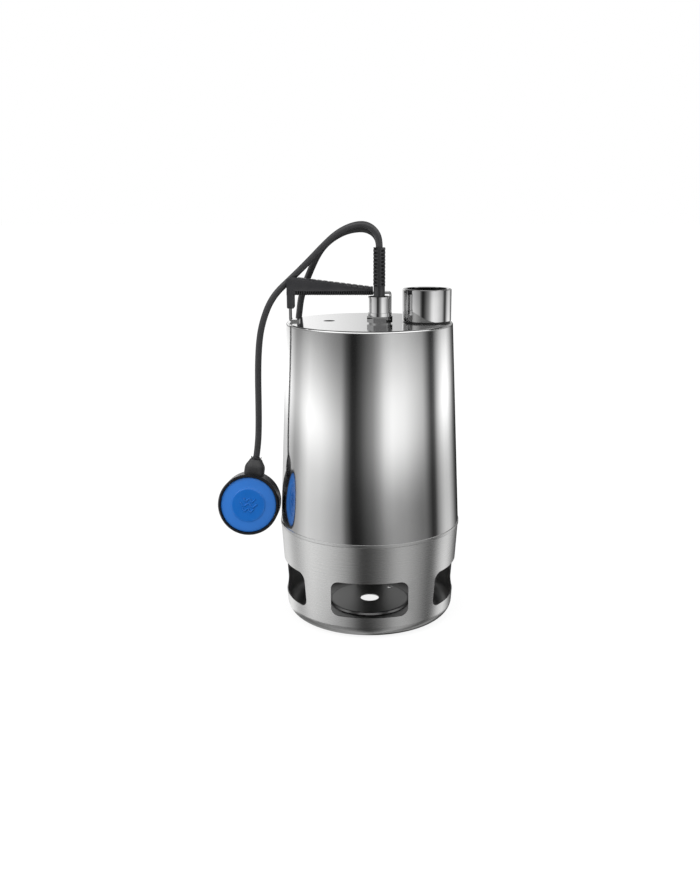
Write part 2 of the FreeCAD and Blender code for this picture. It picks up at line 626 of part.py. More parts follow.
def stator():
    """Motor can with the stator core pressed in and the ends of its winding."""
    place = ("motor_x", "0", "0")
    inside = "can_radius - can_wall"
    turned("motor_can", [(inside, "can_low"), ("can_radius", "can_low"), ("can_radius", "can_high"),
                         (inside, "can_high")], place)
    gaskets = turned("can_gaskets", [(inside + " - 1", "can_low - 1"), ("head_radius", "can_low - 1"),
                                     ("head_radius", "can_low"), (inside + " - 1", "can_low")], place)
    turn_outline(gaskets, [(inside, "can_high"), ("head_radius", "can_high"),
                           ("head_radius", "can_high + 1"), (inside, "can_high + 1")])
    turned("stator_core", [("stator_bore", "core_low"), (inside, "core_low"), (inside, "core_high"),
                           ("stator_bore", "core_high")], place)
    low, high = "core_low - winding_length", "core_high + winding_length"
    ends = turned("winding_ends", [("winding_inner", low), ("winding_outer", low),
                                   ("winding_outer", "core_low"), ("winding_inner", "core_low")], place)
    turn_outline(ends, [("winding_inner", "core_high"), ("winding_outer", "core_high"),
                        ("winding_outer", high), ("winding_inner", high)])


def motor_head():
    """Upper bearing bracket, the head that closes the can, and what is between them."""
    place = ("motor_x", "0", "0")
    rim = "can_radius - can_wall"
    bracket = turned("upper_bracket", [
        ("0", "upper_web_high + 0.5"), ("upper_outer", "upper_web_high + 0.5"),
        ("upper_outer", "upper_bearing - 1"), ("upper_hub_radius", "upper_bearing - 1"),
        ("upper_hub_radius", "upper_web_low"), (rim, "upper_web_low"), (rim, "upper_web_high"),
        ("upper_hub_radius", "upper_web_high"), ("upper_hub_radius", "upper_hub_high"),
        ("0", "upper_hub_high")], place)
    doc.recompute()
    ring_bores(bracket, "0", "0", "head_screw_circle", "upper_web_low", "upper_web_high", 4, 0)
    head = new_body("motor_head")
    under_sleeve = "top_height - sleeve_wall"
    disc(head, "motor_x", "0", rim + " - 0.1", "head_low", "can_high + 1")
    disc(head, "motor_x", "0", "head_radius", "can_high + 1", "head_top")
    disc(head, "gland_x", "gland_y", "gland_boss_radius", "head_top", under_sleeve)
    bore(head, "gland_x", "gland_y", "gland_bore_radius", "head_low", under_sleeve)
    ring_bores(head, "motor_x", "0", "head_screw_circle", "head_low", "head_top", 4, 0)
    rods("head_screws", place, "head_screw_circle", "upper_web_low + 1", "head_top",
         "head_top + screw_head_height", 4, 0)
    terminals = new_body("terminal_block")
    block(terminals, "block_left", "block_right", "gland_y - 14", "gland_y + 14",
          "block_low", "block_high")
    for y in ("gland_y - 8", "gland_y", "gland_y + 8"):
        bore(terminals, "terminal_x", y, "terminal_radius", "terminal_floor", "block_high")
    capacitor = doc.addObject("Part::Cylinder", "capacitor")
    capacitor.Label = "capacitor"
    capacitor.setExpression("Radius", formula("capacitor_radius"))
    capacitor.setExpression("Height", formula("capacitor_length"))
    put(capacitor, ("motor_x - capacitor_length / 2", "30", "capacitor_height"), V(0, 1, 0), "90")
    PARTS.append(capacitor)


# ---------------------------------------------------------------- top fittings

def cable_gland():
    """Chromed gland with the twin strain relief of the two cables."""
    place = ("gland_x", "gland_y", "0")
    gland = new_body("cable_gland", place)
    disc(gland, "0", "0", "gland_thread_radius", "gland_foot", "top_height")
    disc(gland, "0", "0", "gland_hex / 2 - 1.6", "top_height", "top_height + 1.5")
    sketch = new_sketch(gland, "XY_Plane", "top_height + 1.5")
    draw_hexagon(sketch, "0", "0", "gland_hex / 2")
    pad(gland, sketch, "8.5")
    disc(gland, "0", "0", "gland_radius + 1.4", "top_height + 10", "top_height + 14.5")
    disc(gland, "0", "0", "gland_radius", "top_height + 14.5", "gland_top - 1.8")
    disc(gland, "0", "0", "gland_radius + 0.9", "gland_top - 1.8", "gland_top")
    bore(gland, "0", "0", "gland_throat", "gland_foot", "gland_top")
    bore(gland, "0", "0", "relief_seat_radius", "relief_seat", "gland_top")
    grommet = new_body("gland_seal", place)
    disc(grommet, "0", "0", "gland_throat", "grommet_low", "relief_seat")
    relief = new_body("strain_relief", ("relief_x", "gland_y", "0"))
    disc(relief, "gland_x - relief_x", "0", "relief_seat_radius", "relief_seat", "gland_top")
    stadium(relief, "relief_core", "gland_top", "relief_top")
    stadium(relief, "relief_core + 0.9", "gland_top", "gland_top + 14")
    ring = stadium(relief, "relief_radius", "relief_top - 3", "relief_top")
    along(relief, ring, "Z_Axis", "relief_pitch * (relief_ribs - 1)", int(SIZES["relief_ribs"]), True)


def stadium(body, radius, low, high):
    """Two upright half-rounds joined by straight sides, one over each cable."""
    sketch = new_sketch(body, "XY_Plane", low)
    reach = number("relief_half_gap")
    size = number(radius)
    ends = []
    for sign, start in ((1, 0), (-1, math.pi)):
        circle = Part.Circle(V(0, sign * reach, 0), V(0, 0, 1), size)
        ends.append(sketch.addGeometry(Part.ArcOfCircle(circle, start, start + math.pi), False))
    for arc, after in ((ends[0], ends[1]), (ends[1], ends[0])):
        side = sketch.addGeometry(Part.LineSegment(sketch.getPoint(arc, 2), sketch.getPoint(after, 1)), False)
        sketch.addConstraint(Sketcher.Constraint("Tangent", arc, 2, side, 1))
        sketch.addConstraint(Sketcher.Constraint("Tangent", side, 2, after, 1))
    for arc, text in ((ends[0], "relief_half_gap"), (ends[1], "-relief_half_gap")):
        pin(sketch, "DistanceX", arc, 3, "0")
        pin(sketch, "DistanceY", arc, 3, text)
    sketch.addConstraint(Sketcher.Constraint("Radius", ends[0], size))
    sketch.setExpression(f"Constraints[{sketch.ConstraintCount - 1}]", formula(radius))
    return pad(body, sketch, f"({high}) - ({low})")


def handle_bracket():
    """Bent strap: two legs on feet that turn inwards, and the bar inside the grip between them."""
    body = new_body("handle_bracket", ("0", "handle_y", "0"))
    foot = "top_height + strap_wall"
    inner = "strap_top - strap_wall"
    sketch = new_sketch(body, "XZ_Plane")
    draw_outline(sketch, [
        ("strap_left", "top_height"), ("strap_left + 14", "top_height"), ("strap_left + 14", foot),
        ("strap_left + strap_wall", foot), ("strap_left + strap_wall", inner),
        ("strap_right - strap_wall", inner), ("strap_right - strap_wall", foot),
        ("strap_right - 14", foot), ("strap_right - 14", "top_height"), ("strap_right", "top_height"),
        ("strap_right", "strap_top"), ("strap_left", "strap_top")])
    pad(body, sketch, "strap_width", midplane=True)
    outside = [("strap_left", "top_height"), ("strap_right", "top_height"),
               ("strap_right", "strap_top"), ("strap_left", "strap_top")]
    inside = [("strap_left + strap_wall", foot), ("strap_right - strap_wall", foot),
              ("strap_right - strap_wall", inner)]
    round_edges(body, "strap_bend", [(x, "0", z) for x, z in outside])
    round_edges(body, "strap_bend - strap_wall + 0.2", [(x, "0", z) for x, z in inside])


def slot_corners():
    """Outline of the slot round the held run of the float cable, in the handle's plane."""
    start = V(FLOAT_ROUTE[FLOAT_HELD_RUN][0], FLOAT_ROUTE[FLOAT_HELD_RUN][2], 0)
    end = V(FLOAT_ROUTE[FLOAT_HELD_RUN + 1][0], FLOAT_ROUTE[FLOAT_HELD_RUN + 1][2], 0)
    heading = (end - start).normalize()
    side = V(-heading.y, heading.x, 0) * (number("float_cable_radius") + 0.5)
    reach = heading * 8
    corners = (start - reach - side, end + reach - side, end + reach + side, start - reach + side)
    return [(f"{corner.x:.4f}", f"{corner.y:.4f}") for corner in corners]


def handle_grip():
    """Tapered plastic grip moulded round the strap, ribbed below, slotted for the float cable."""
    body = new_body("handle_grip", ("0", "handle_y", "0"))
    sketch = new_sketch(body, "XZ_Plane")
    draw_outline(sketch, [
        ("grip_left", "grip_low"), ("grip_leg", "grip_low"), ("grip_leg", "grip_bottom"),
        ("grip_right", "grip_bottom"), ("grip_right", "grip_end_high"),
        ("grip_left + 5", "grip_high"), ("grip_left", "grip_high - 3")])
    pad(body, sketch, "grip_width", midplane=True)
    half = "grip_width / 2"
    slope = "(grip_high - grip_end_high) / (grip_right - grip_left - 5)"
    ridge = f"grip_end_high + grip_right * {slope}"
    round_edges(body, "2.5", [("0", "-" + half, ridge), ("0", half, ridge)])
    # groove for the strap, open at the lower end of the leg and at the right end
    inner = "strap_top - strap_wall"
    sketch = new_sketch(body, "XZ_Plane")
    draw_outline(sketch, [
        ("strap_left", "grip_low"), ("strap_left + strap_wall", "grip_low"),
        ("strap_left + strap_wall", inner), ("grip_right", inner), ("grip_right", "strap_top"),
        ("strap_left", "strap_top")])
    pocket(body, sketch, "strap_width", midplane=True)
    # slanted slot behind the front wall, where the float cable is clipped in
    sketch = new_sketch(body, "XZ_Plane", "float_cable_radius + 1.3")
    draw_outline(sketch, slot_corners())
    pocket(body, sketch, "grip_width")
    # cross ribs along the lower edge
    sketch = new_sketch(body, "XZ_Plane")
    left = "grip_right - 2.4"
    draw_outline(sketch, [(left + " - rib_pitch / 2", "grip_bottom"), (left, "grip_bottom"),
                          (left, "grip_bottom + 1"), (left + " - rib_pitch / 2", "grip_bottom + 1")])
    rib = pocket(body, sketch, "grip_width", midplane=True)
    along(body, rib, "X_Axis", "rib_pitch * (rib_count - 1)", int(SIZES["rib_count"]), True)


# ---------------------------------------------------------------- float

def float_turned(label, corners):
    """A piece turned about the float's thickness axis, which is its own Y axis."""
    body = new_body(label)
    sketch = new_sketch(body, "XY_Plane")
    draw_outline(sketch, corners)
    feature = body.newObject("PartDesign::Revolution", label + "_turn")
    feature.Profile = sketch
    feature.ReferenceAxis = (sketch, ["V_Axis"])
    feature.Angle = 360
    return body


def float_pieces():
    """Two shells in a rubber band, the boot that holds the cable, and the switch inside."""
    inside = "float_radius - band_wall"
    lip = "float_half - band_lip"
    float_turned("float_band", [
        ("face_radius", "-float_half"), ("float_radius - 1.5", "-float_half"),
        ("float_radius", "-float_half + 3"), ("float_radius", "float_half - 3"),
        ("float_radius - 1.5", "float_half"), ("face_radius", "float_half"), ("face_radius", lip),
        (inside, lip), (inside, "-(" + lip + ")"), ("face_radius", "-(" + lip + ")")])
    for label, side in (("float_front_shell", "-1"), ("float_back_shell", "1")):
        float_turned(label, [
            ("0", f"{side} * (float_half + 0.4)"),
            ("face_disc_radius", f"{side} * (float_half + 0.2)"),
            ("face_step_radius", f"{side} * (float_half - 0.8)"),
            ("face_radius - 0.2", f"{side} * (float_half - 1.2)"),
            ("face_radius - 0.2", f"{side} * ({lip} - 0.1)"),
            (inside + " - 0.1", f"{side} * ({lip} - 0.1)"),
            (inside + " - 0.1", f"{side} * 0.05"),
            (inside + " - shell_wall", f"{side} * 0.05"),
            (inside + " - shell_wall", f"{side} * ({lip} - shell_wall)"),
            ("0", f"{side} * ({lip} - shell_wall)")])
    boot = turned("float_boot", [
        ("0", "boot_foot"), ("boot_radius + 0.6", "boot_foot"), ("boot_radius + 0.6", "boot_shoulder"),
        ("boot_radius - 0.4", "boot_waist"), ("boot_neck_radius", "boot_neck"),
        ("boot_mouth_radius", "boot_mouth"), ("boot_mouth_radius", "boot_top"), ("0", "boot_top")])
    doc.recompute()
    sketch = new_sketch(boot, "XZ_Plane")
    draw_circle(sketch, "0", "0", "float_radius")
    pocket(boot, sketch, "4 * boot_radius", midplane=True)
    turned("switch_tube", [
        ("0", "tube_low"), ("switch_bore + 1.5", "tube_low"), ("switch_bore + 1.5", "switch_low"),
        ("switch_bore", "switch_low"), ("switch_bore", "tube_floor"), ("0", "tube_floor")])
    switch = new_body("switch_body")
    block(switch, "-switch_half", "switch_half", "-switch_depth", "switch_depth",
          "switch_low", "switch_high")
    bore(switch, "0", "0", "plunger_hole", "switch_low", "plunger_hole_high")
    plunger = new_body("switch_plunger")
    disc(plunger, "0", "0", "plunger_radius", "plunger_low", "plunger_high")
    ball = new_body("switch_ball")
    sketch = new_sketch(ball, "XZ_Plane")
    draw_half_disc(sketch, "0", "ball_rest", "ball_radius")
    one = ball.newObject("PartDesign::Revolution", "switch_ball_turn")
    one.Profile = sketch
    one.ReferenceAxis = (sketch, ["V_Axis"])
    one.Angle = 360
    # the float hangs tilted sideways and leans back: its own Z axis points at the cable
    lean_axis = V(-SIZES["float_lean"], SIZES["float_tilt"], 0)
    for body in PARTS[-8:]:
        put(body, ("float_x", "float_y", "float_z"), lean_axis,
            "sqrt(float_lean ^ 2 + float_tilt ^ 2)")


# ---------------------------------------------------------------- cables

# Centre line of the mains cable, from the strain relief over the loop, behind the grip and
# the sleeve, down to the floor and to the outer turn of its coil.
MAINS_ROUTE = [
    (12.7, -16, 512.4), (12.7, -16, 520.2), (6.8, -15.8, 530.2), (-4, -14.6, 536), (-17, -12.4, 536.4),
    (-33, -9, 532.8), (-48, -4.4, 524.8), (-61, 1.4, 514), (-71, 8, 500), (-79, 16, 483.5),
    (-86.6, 26, 466.5), (-92.8, 38.5, 450.5), (-97.3, 53.5, 435.3), (-100.2, 70, 419.5),
    (-103.5, 84, 400), (-106.5, 92, 368), (-107.5, 96, 325), (-106, 98, 275), (-103.5, 99.5, 225),
    (-100.5, 101.5, 175), (-96.5, 105.5, 125), (-92, 114, 80), (-88, 129, 44), (-86.5, 149, 20),
    (-90, 171, 8.4), (-99, 193, 5.75), (-111.5, 214.7, 5.65)]

# From the outer turn of the coil to the plug.
TAIL_ROUTE = [
    (22.7, 337.6, 5.65), (47, 323.7, 5.65), (71, 309.6, 6.3), (92, 295, 9.5), (103, 279, 14.5),
    (108, 262, 19), (108, 244, 19)]

# Centre line of the float cable, from the strain relief to the boot on the float.
FLOAT_ROUTE = [
    (12.7, -28, 512.4), (12.7, -28, 524.2), (6.6, -27.8, 535.2), (-3.8, -27, 541.9),
    (-16, -25.6, 542.2), (-31, -23, 537.4), (-46, -19, 528.4), (-62, -12.5, 513.6), (-80, -4, 495.2),
    (-97.5, 2, 478.2), (-112.8, 3, 464), (-126, 3, 451.5), (-136.5, 3, 436), (-144.3, 3, 416.5),
    (-149.9, 3, 395), (-153, 3, 366), (-154.2, 3, 332), (-154.4, 3, 296), (-155, 3, 264),
    (-156.62, 1.97, 238.6), (-158.98, -0.25, 222.94)]
FLOAT_HELD_RUN = 9      # the run that lies in the grip's slot, where the cable is held
FLOAT_BEND_RUN = 10     # the next run, whose far end is where the cable bends as the float swings


def route_edges(route):
    """Straight runs joined by tangent arcs. Returns a list of edges per run and its arc."""
    points = [V(*point) for point in route]
    groups = []
    start = points[0]
    radii = []
    for before, corner, after in zip(points, points[1:], points[2:]):
        into = corner - before
        out = after - corner
        turn = into.getAngle(out)
        radius = 0.45 * min(into.Length, out.Length) / math.tan(turn / 2)
        reach = radius * math.tan(turn / 2)
        radii.append(radius)
        toward = V(into).normalize()
        away = V(out).normalize()
        first = corner - toward * reach
        last = corner + away * reach
        inward = (away - toward).normalize()
        centre = corner + inward * (radius / math.cos(turn / 2))
        middle = centre - inward * radius
        groups.append([Part.LineSegment(start, first), Part.Arc(first, middle, last)])
        start = last
    groups.append([Part.LineSegment(start, points[-1])])
    return groups, radii


def split_line(group):
    """Cut a run's straight stretch in two at its middle."""
    line = group[0]
    middle = (line.StartPoint + line.EndPoint) / 2
    return Part.LineSegment(line.StartPoint, middle), Part.LineSegment(middle, line.EndPoint)


def sweep(curves, radius, name):
    """A round tube along the curves. Its volume must equal its section times its length."""
    path = Part.Wire([curve.toShape() for curve in curves])
    start = curves[0]
    heading = start.EndPoint - start.StartPoint
    section = Part.Wire(Part.Circle(start.StartPoint, heading, radius).toShape())
    tube = path.makePipeShell([section], True, False)
    expected = math.pi * radius ** 2 * path.Length
    print(f"{name}: length {path.Length:.1f}, volume / (section x length) = {tube.Volume / expected:.4f}")
    if abs(tube.Volume / expected - 1) > 0.01:
        raise RuntimeError(name + ": the tube's volume is wrong")
    return tube


def add_shape(label, shape):
    """A document object that holds a shape made with the shape functions."""
    item = doc.addObject("Part::Feature", label)
    item.Label = label
    item.Shape = shape
    PARTS.append(item)
    return item


def flat(groups):
    return [curve for group in groups for curve in group]


def mains_cable():
    """Both uncoiled stretches of the mains cable, one tube each."""
    tubes = []
    for name, route in (("mains cable", MAINS_ROUTE), ("mains tail", TAIL_ROUTE)):
        groups, radii = route_edges(route)
        print(name, "radii", [round(radius, 1) for radius in radii])
        tubes.append(sweep(flat(groups), number("mains_radius"), name))
    add_shape("mains_cable", Part.makeCompound(tubes))


def mains_coil():
    """Outer shape of the coiled stretch, and the strap that ties it."""
    place = ("coil_x", "coil_y", "0")
    turned("mains_coil", [("coil_inner", "coil_low"), ("coil_outer", "coil_low"),
                          ("coil_outer", "coil_high"), ("coil_inner", "coil_high")], place)
    tie = new_body("coil_tie", place)
    outer = [("coil_inner - tie_wall", "coil_low - tie_wall"),
             ("coil_outer + tie_wall", "coil_low - tie_wall"),
             ("coil_outer + tie_wall", "coil_high + tie_wall"),
             ("coil_inner - tie_wall", "coil_high + tie_wall")]
    inner = [("coil_inner - 0.4", "coil_low"), ("coil_outer + 0.4", "coil_low"),
             ("coil_outer + 0.4", "coil_high"), ("coil_inner - 0.4", "coil_high")]
    sketch = new_sketch(tie, "XZ_Plane")
    draw_outline(sketch, outer)
    pad(tie, sketch, "tie_width", midplane=True)
    sketch = new_sketch(tie, "XZ_Plane")
    draw_outline(sketch, inner)
    pocket(tie, sketch, "tie_width + 2", midplane=True)


def mains_plug():
    """Two-pin plug lying on the floor, its pins and its bend protector."""
    neck_end = "plug_length + plug_neck"
    sleeve_end = "plug_length + plug_sleeve_end"
    body = turned("mains_plug", [
        ("0", "0"), ("plug_radius - 1.5", "0"), ("plug_radius", "1.5"), ("plug_radius", "plug_waist"),
        ("plug_shoulder_radius", "plug_length"), ("plug_neck_radius", neck_end), ("0", neck_end)])
    sleeve = turned("plug_sleeve", [
        ("0", neck_end), ("plug_sleeve_radius", neck_end), ("plug_sleeve_end_radius", sleeve_end),
        ("0", sleeve_end)])
    pins = new_body("plug_pins")
    for sign in ("-", ""):
        disc(pins, sign + "pin_spacing / 2", "0", "pin_radius", "-pin_length", "0")
    for item in (body, sleeve, pins):
        put(item, ("plug_x", "plug_y - plug_length", "plug_radius"), V(1, 0, 0), "-90")


def float_cable():
    """The float cable: held stretch, the bend where it leaves the grip, hanging stretch."""
    groups, radii = route_edges(FLOAT_ROUTE)
    print("float cable radii", [round(radius, 1) for radius in radii])
    radius = number("float_cable_radius")
    held_end, bend_start = split_line(groups[FLOAT_BEND_RUN])
    bend_end, free_start = split_line(groups[FLOAT_BEND_RUN + 1])
    held = flat(groups[:FLOAT_BEND_RUN]) + [held_end]
    bend = [bend_start, groups[FLOAT_BEND_RUN][1], bend_end]
    free = [free_start, groups[FLOAT_BEND_RUN + 1][1]] + flat(groups[FLOAT_BEND_RUN + 2:])
    for label, curves in (("float_cable_held", held), ("float_cable_bend", bend),
                          ("float_cable_hanging", free)):
        add_shape(label, sweep(curves, radius, label))
    print("float cable bend from", bend_start.StartPoint, "to", bend_end.EndPoint)


def check_and_write():
    """Stop on any failed object or bad shape, then write one file for each piece."""
    doc.recompute()
    for item in doc.Objects:
        if "Invalid" in item.State or "Error" in item.State:
            raise RuntimeError(f"{item.Label} failed: {item.State}")
    labels = [item.Label for item in PARTS]
    if len(labels) != len(set(labels)) or len(labels) > 60:
        raise RuntimeError(f"labels repeat, or there are too many pieces: {len(labels)}")
    for item in PARTS:
        shape = item.Shape
        if shape.isNull() or not shape.isValid() or not shape.Solids:
            raise RuntimeError(item.Label + ": bad shape")
    os.makedirs("parts", exist_ok=True)
    for item in PARTS:
        item.Shape.exportStep(f"parts/{item.Label}.step")
    print(len(PARTS), "pieces written")


fill_sheet()
outer_sleeve()
strainer_base()
seam_ring()
discharge_socket()
riser_pipe()
pump_housing()
suction_cover()
impeller_set()
shaft_seal()
bearing_bracket()
shaft_and_rotor()
stator()
motor_head()
cable_gland()
handle_bracket()
handle_grip()
float_pieces()
mains_cable()
mains_coil()
mains_plug()
float_cable()
check_and_write()
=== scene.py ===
"""Looks of the submersible sump pump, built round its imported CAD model. Metres, +Z up."""
import math

import bpy
from mathutils import Matrix, Vector


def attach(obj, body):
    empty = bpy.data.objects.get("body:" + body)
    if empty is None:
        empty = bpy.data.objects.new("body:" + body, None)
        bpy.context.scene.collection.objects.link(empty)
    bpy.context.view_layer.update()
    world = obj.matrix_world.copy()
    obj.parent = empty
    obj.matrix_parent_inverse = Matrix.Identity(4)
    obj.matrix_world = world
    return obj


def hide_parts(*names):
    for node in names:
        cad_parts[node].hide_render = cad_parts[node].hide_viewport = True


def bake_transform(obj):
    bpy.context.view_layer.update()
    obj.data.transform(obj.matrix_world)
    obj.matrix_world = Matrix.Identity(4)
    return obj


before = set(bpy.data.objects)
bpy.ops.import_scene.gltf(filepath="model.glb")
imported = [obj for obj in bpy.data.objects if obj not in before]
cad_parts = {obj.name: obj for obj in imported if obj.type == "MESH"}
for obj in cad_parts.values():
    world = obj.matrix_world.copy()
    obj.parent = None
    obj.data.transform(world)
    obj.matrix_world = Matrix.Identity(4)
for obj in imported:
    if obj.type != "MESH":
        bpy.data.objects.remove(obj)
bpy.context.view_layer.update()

MM = 0.001

# Places on the pump that the finishes refer to, in metres.
PUMP_AXIS = (0.0, 0.0)
PORT_AXIS = (0.0775, 0.0)
MOTOR_AXIS = (-0.03, 0.0)
VENT_AXIS = (-0.0553, 0.0078)
VENT_RADIUS = 0.0076
VENT_SHADE_EDGE = (VENT_RADIUS + 0.0004, VENT_RADIUS + 0.0009)    # painted shade: black on the vent hole's wall, fading out to the plate over these radii
# The next five constants mark where the strainer's inside and its floor disc's step get painted shade.
FLOOR_EDGE = (0.096, 0.099)             # radii where the strainer's floor ends
DISC_STEP_INNER = (0.0535, 0.0545)      # radii of the step round the raised floor disc
DISC_STEP_OUTER = (0.058, 0.060)
LIP_HEIGHTS = (0.118, 0.124)            # where the strainer's inside ends, under its lip
TURNED_IN = (0.015, 0.045)              # outward() on the strainer's inside and on its outside
FLOAT_CENTRE = (-0.1687, -0.0094, 0.1583)
FLOAT_SHEEN_RING = (0.0312, 0.0332)           # from the float's middle disc to its outer ring, which is rougher and painted lighter as a highlight


# ---------------------------------------------------------------- camera

CAMERA_PLACE = (0.0, -1.32766, 0.56576)
CAMERA_DIP = 13.188     # degrees below level
LENS_LENGTH = 40.43     # on a sensor 36 mm wide
LENS_SHIFT = -0.0226


def make_camera():
    """In front of the pump, looking a little down on it."""
    lens = bpy.data.cameras.new("camera")
    lens.sensor_width = 36.0
    lens.lens = LENS_LENGTH
    lens.shift_x = LENS_SHIFT
    camera = bpy.data.objects.new("camera", lens)
    camera.location = CAMERA_PLACE
    camera.rotation_euler = (math.radians(90 - CAMERA_DIP), 0.0, 0.0)
    bpy.context.scene.collection.objects.link(camera)
    bpy.context.scene.camera = camera


# ---------------------------------------------------------------- node helpers

def math_node(nodes, links, operation, first, second=0.0):
    """Output of a Math node that is fed by numbers or by the outputs of other nodes."""
    node = nodes.new("ShaderNodeMath")
    node.operation = operation
    for slot, value in zip(node.inputs, (first, second)):
        if isinstance(value, (int, float)):
            slot.default_value = value
        else:
            links.new(value, slot)
    return node.outputs[0]


class Finish:
    """A material with a Principled shader, and short ways to add texture nodes to it."""

    def __init__(self, name, color, roughness, metallic=0.0, **sockets):
        self.material = bpy.data.materials.new(name)
        self.material.use_nodes = True
        self.nodes = self.material.node_tree.nodes
        self.links = self.material.node_tree.links
        self.shader = self.nodes["Principled BSDF"]
        self.set("Base Color", (*color, 1.0))
        self.set("Roughness", roughness)
        self.set("Metallic", metallic)
        for socket, value in sockets.items():
            self.set(socket.replace("_", " "), value)
        self.place = self.nodes.new("ShaderNodeTexCoord").outputs["Object"]

    def set(self, socket, value):
        self.shader.inputs[socket].default_value = value

    def feed(self, socket, output):
        self.links.new(output, self.shader.inputs[socket])

    def math(self, operation, first, second=0.0):
        return math_node(self.nodes, self.links, operation, first, second)

    def noise(self, scale, detail=2.0, vector=None):
        node = self.nodes.new("ShaderNodeTexNoise")
        node.inputs["Scale"].default_value = scale
        node.inputs["Detail"].default_value = detail
        self.links.new(vector or self.place, node.inputs["Vector"])
        return node.outputs["Fac"]

    def cells(self, scale, vector=None):
        node = self.nodes.new("ShaderNodeTexVoronoi")
        node.inputs["Scale"].default_value = scale
        self.links.new(vector or self.place, node.inputs["Vector"])
        return node.outputs["Distance"]

    def split(self):
        node = self.nodes.new("ShaderNodeSeparateXYZ")
        self.links.new(self.place, node.inputs[0])
        return node.outputs

    def outward(self):
        """The normal's share away from the pump's axis, times the radius: negative inside."""
        normal = self.nodes.new("ShaderNodeSeparateXYZ")
        self.links.new(self.nodes["Texture Coordinate"].outputs["Normal"], normal.inputs[0])
        parts = self.split()
        along = self.math("MULTIPLY", parts["X"], normal.outputs["X"])
        return self.math("ADD", along, self.math("MULTIPLY", parts["Y"], normal.outputs["Y"]))

    def crevice_shade(self, reach=0.003):
        """1 on open surfaces, less in grooves and pockets: painted shade, from ambient occlusion."""
        node = self.nodes.new("ShaderNodeAmbientOcclusion")
        node.samples = 6
        node.inputs["Distance"].default_value = reach
        return node.outputs["AO"]

    def stretched(self, x, y, z):
        """Object coordinates stretched by a factor on each axis."""
        node = self.nodes.new("ShaderNodeMapping")
        node.inputs["Scale"].default_value = (x, y, z)
        self.links.new(self.place, node.inputs["Vector"])
        return node.outputs[0]

    def offsets(self, axis):
        """How far to the right of an upright axis, and how far behind it."""
        parts = self.split()
        return self.math("SUBTRACT", parts["X"], axis[0]), self.math("SUBTRACT", parts["Y"], axis[1])

    def radius(self, axis):
        """Distance from an upright axis."""
        right, deep = self.offsets(axis)
        return self.math("SQRT", self.math("ADD", self.math("MULTIPLY", right, right),
                                           self.math("MULTIPLY", deep, deep)))

    def wound(self, axis, along, across):
        """Coordinates that run round an upright axis, for turned or rolled metal."""
        right, deep = self.offsets(axis)
        turn = self.math("ARCTAN2", deep, right)
        rise = self.math("ADD", self.split()["Z"], self.radius(axis))
        node = self.nodes.new("ShaderNodeCombineXYZ")
        self.links.new(self.math("MULTIPLY", turn, along), node.inputs[0])
        self.links.new(self.math("MULTIPLY", rise, across), node.inputs[1])
        return node.outputs[0]

    def between(self, value, low, high, low_out, high_out):
        """A value taken from one range to another, and held at its ends."""
        node = self.nodes.new("ShaderNodeMapRange")
        self.links.new(value, node.inputs["Value"])
        sockets = ("From Min", "From Max", "To Min", "To Max")
        for socket, number in zip(sockets, (low, high, low_out, high_out)):
            node.inputs[socket].default_value = number
        return node.outputs[0]

    def tint(self, value, low, high, dark, light):
        """Base colour between two tones, by a texture value."""
        node = self.nodes.new("ShaderNodeValToRGB")
        self.links.new(value, node.inputs[0])
        for element, place, color in zip(node.color_ramp.elements, (low, high), (dark, light)):
            element.position = place
            element.color = (*color, 1.0)
        self.feed("Base Color", node.outputs[0])

    def bump(self, height, depth, strength=1.0):
        node = self.nodes.new("ShaderNodeBump")
        node.inputs["Strength"].default_value = strength
        node.inputs["Distance"].default_value = depth
        self.links.new(height, node.inputs["Height"])
        self.feed("Normal", node.outputs[0])


# ---------------------------------------------------------------- finishes

def polished_stainless():
    """Mirror-polished sheet: faint rolling lines, a little haze, and painted shade, black on the vent
    hole's wall and fading out round its edge.
    """
    made = Finish("polished_stainless", (0.70, 0.70, 0.695), 0.10, 1.0)
    haze = made.noise(9.0, 3.0)
    made.feed("Roughness", made.between(haze, 0.3, 0.7, 0.08, 0.12))
    # painted shade: the vent hole's wall is tinted black, and a thin ring round it fades back to the
    # plate's tone
    vent_shade_mask = made.between(made.radius(VENT_AXIS), *VENT_SHADE_EDGE, 0.0, 1.0)
    tone = made.math("MULTIPLY", made.between(haze, 0.35, 0.7, 0.96, 1.0), vent_shade_mask)
    made.tint(tone, 0.0, 1.0, (0.0, 0.0, 0.0), (0.715, 0.715, 0.712))
    made.bump(made.noise(1.0, 2.0, made.wound(PUMP_AXIS, 2.0, 900.0)), 2e-6, 0.5)
    return made.material


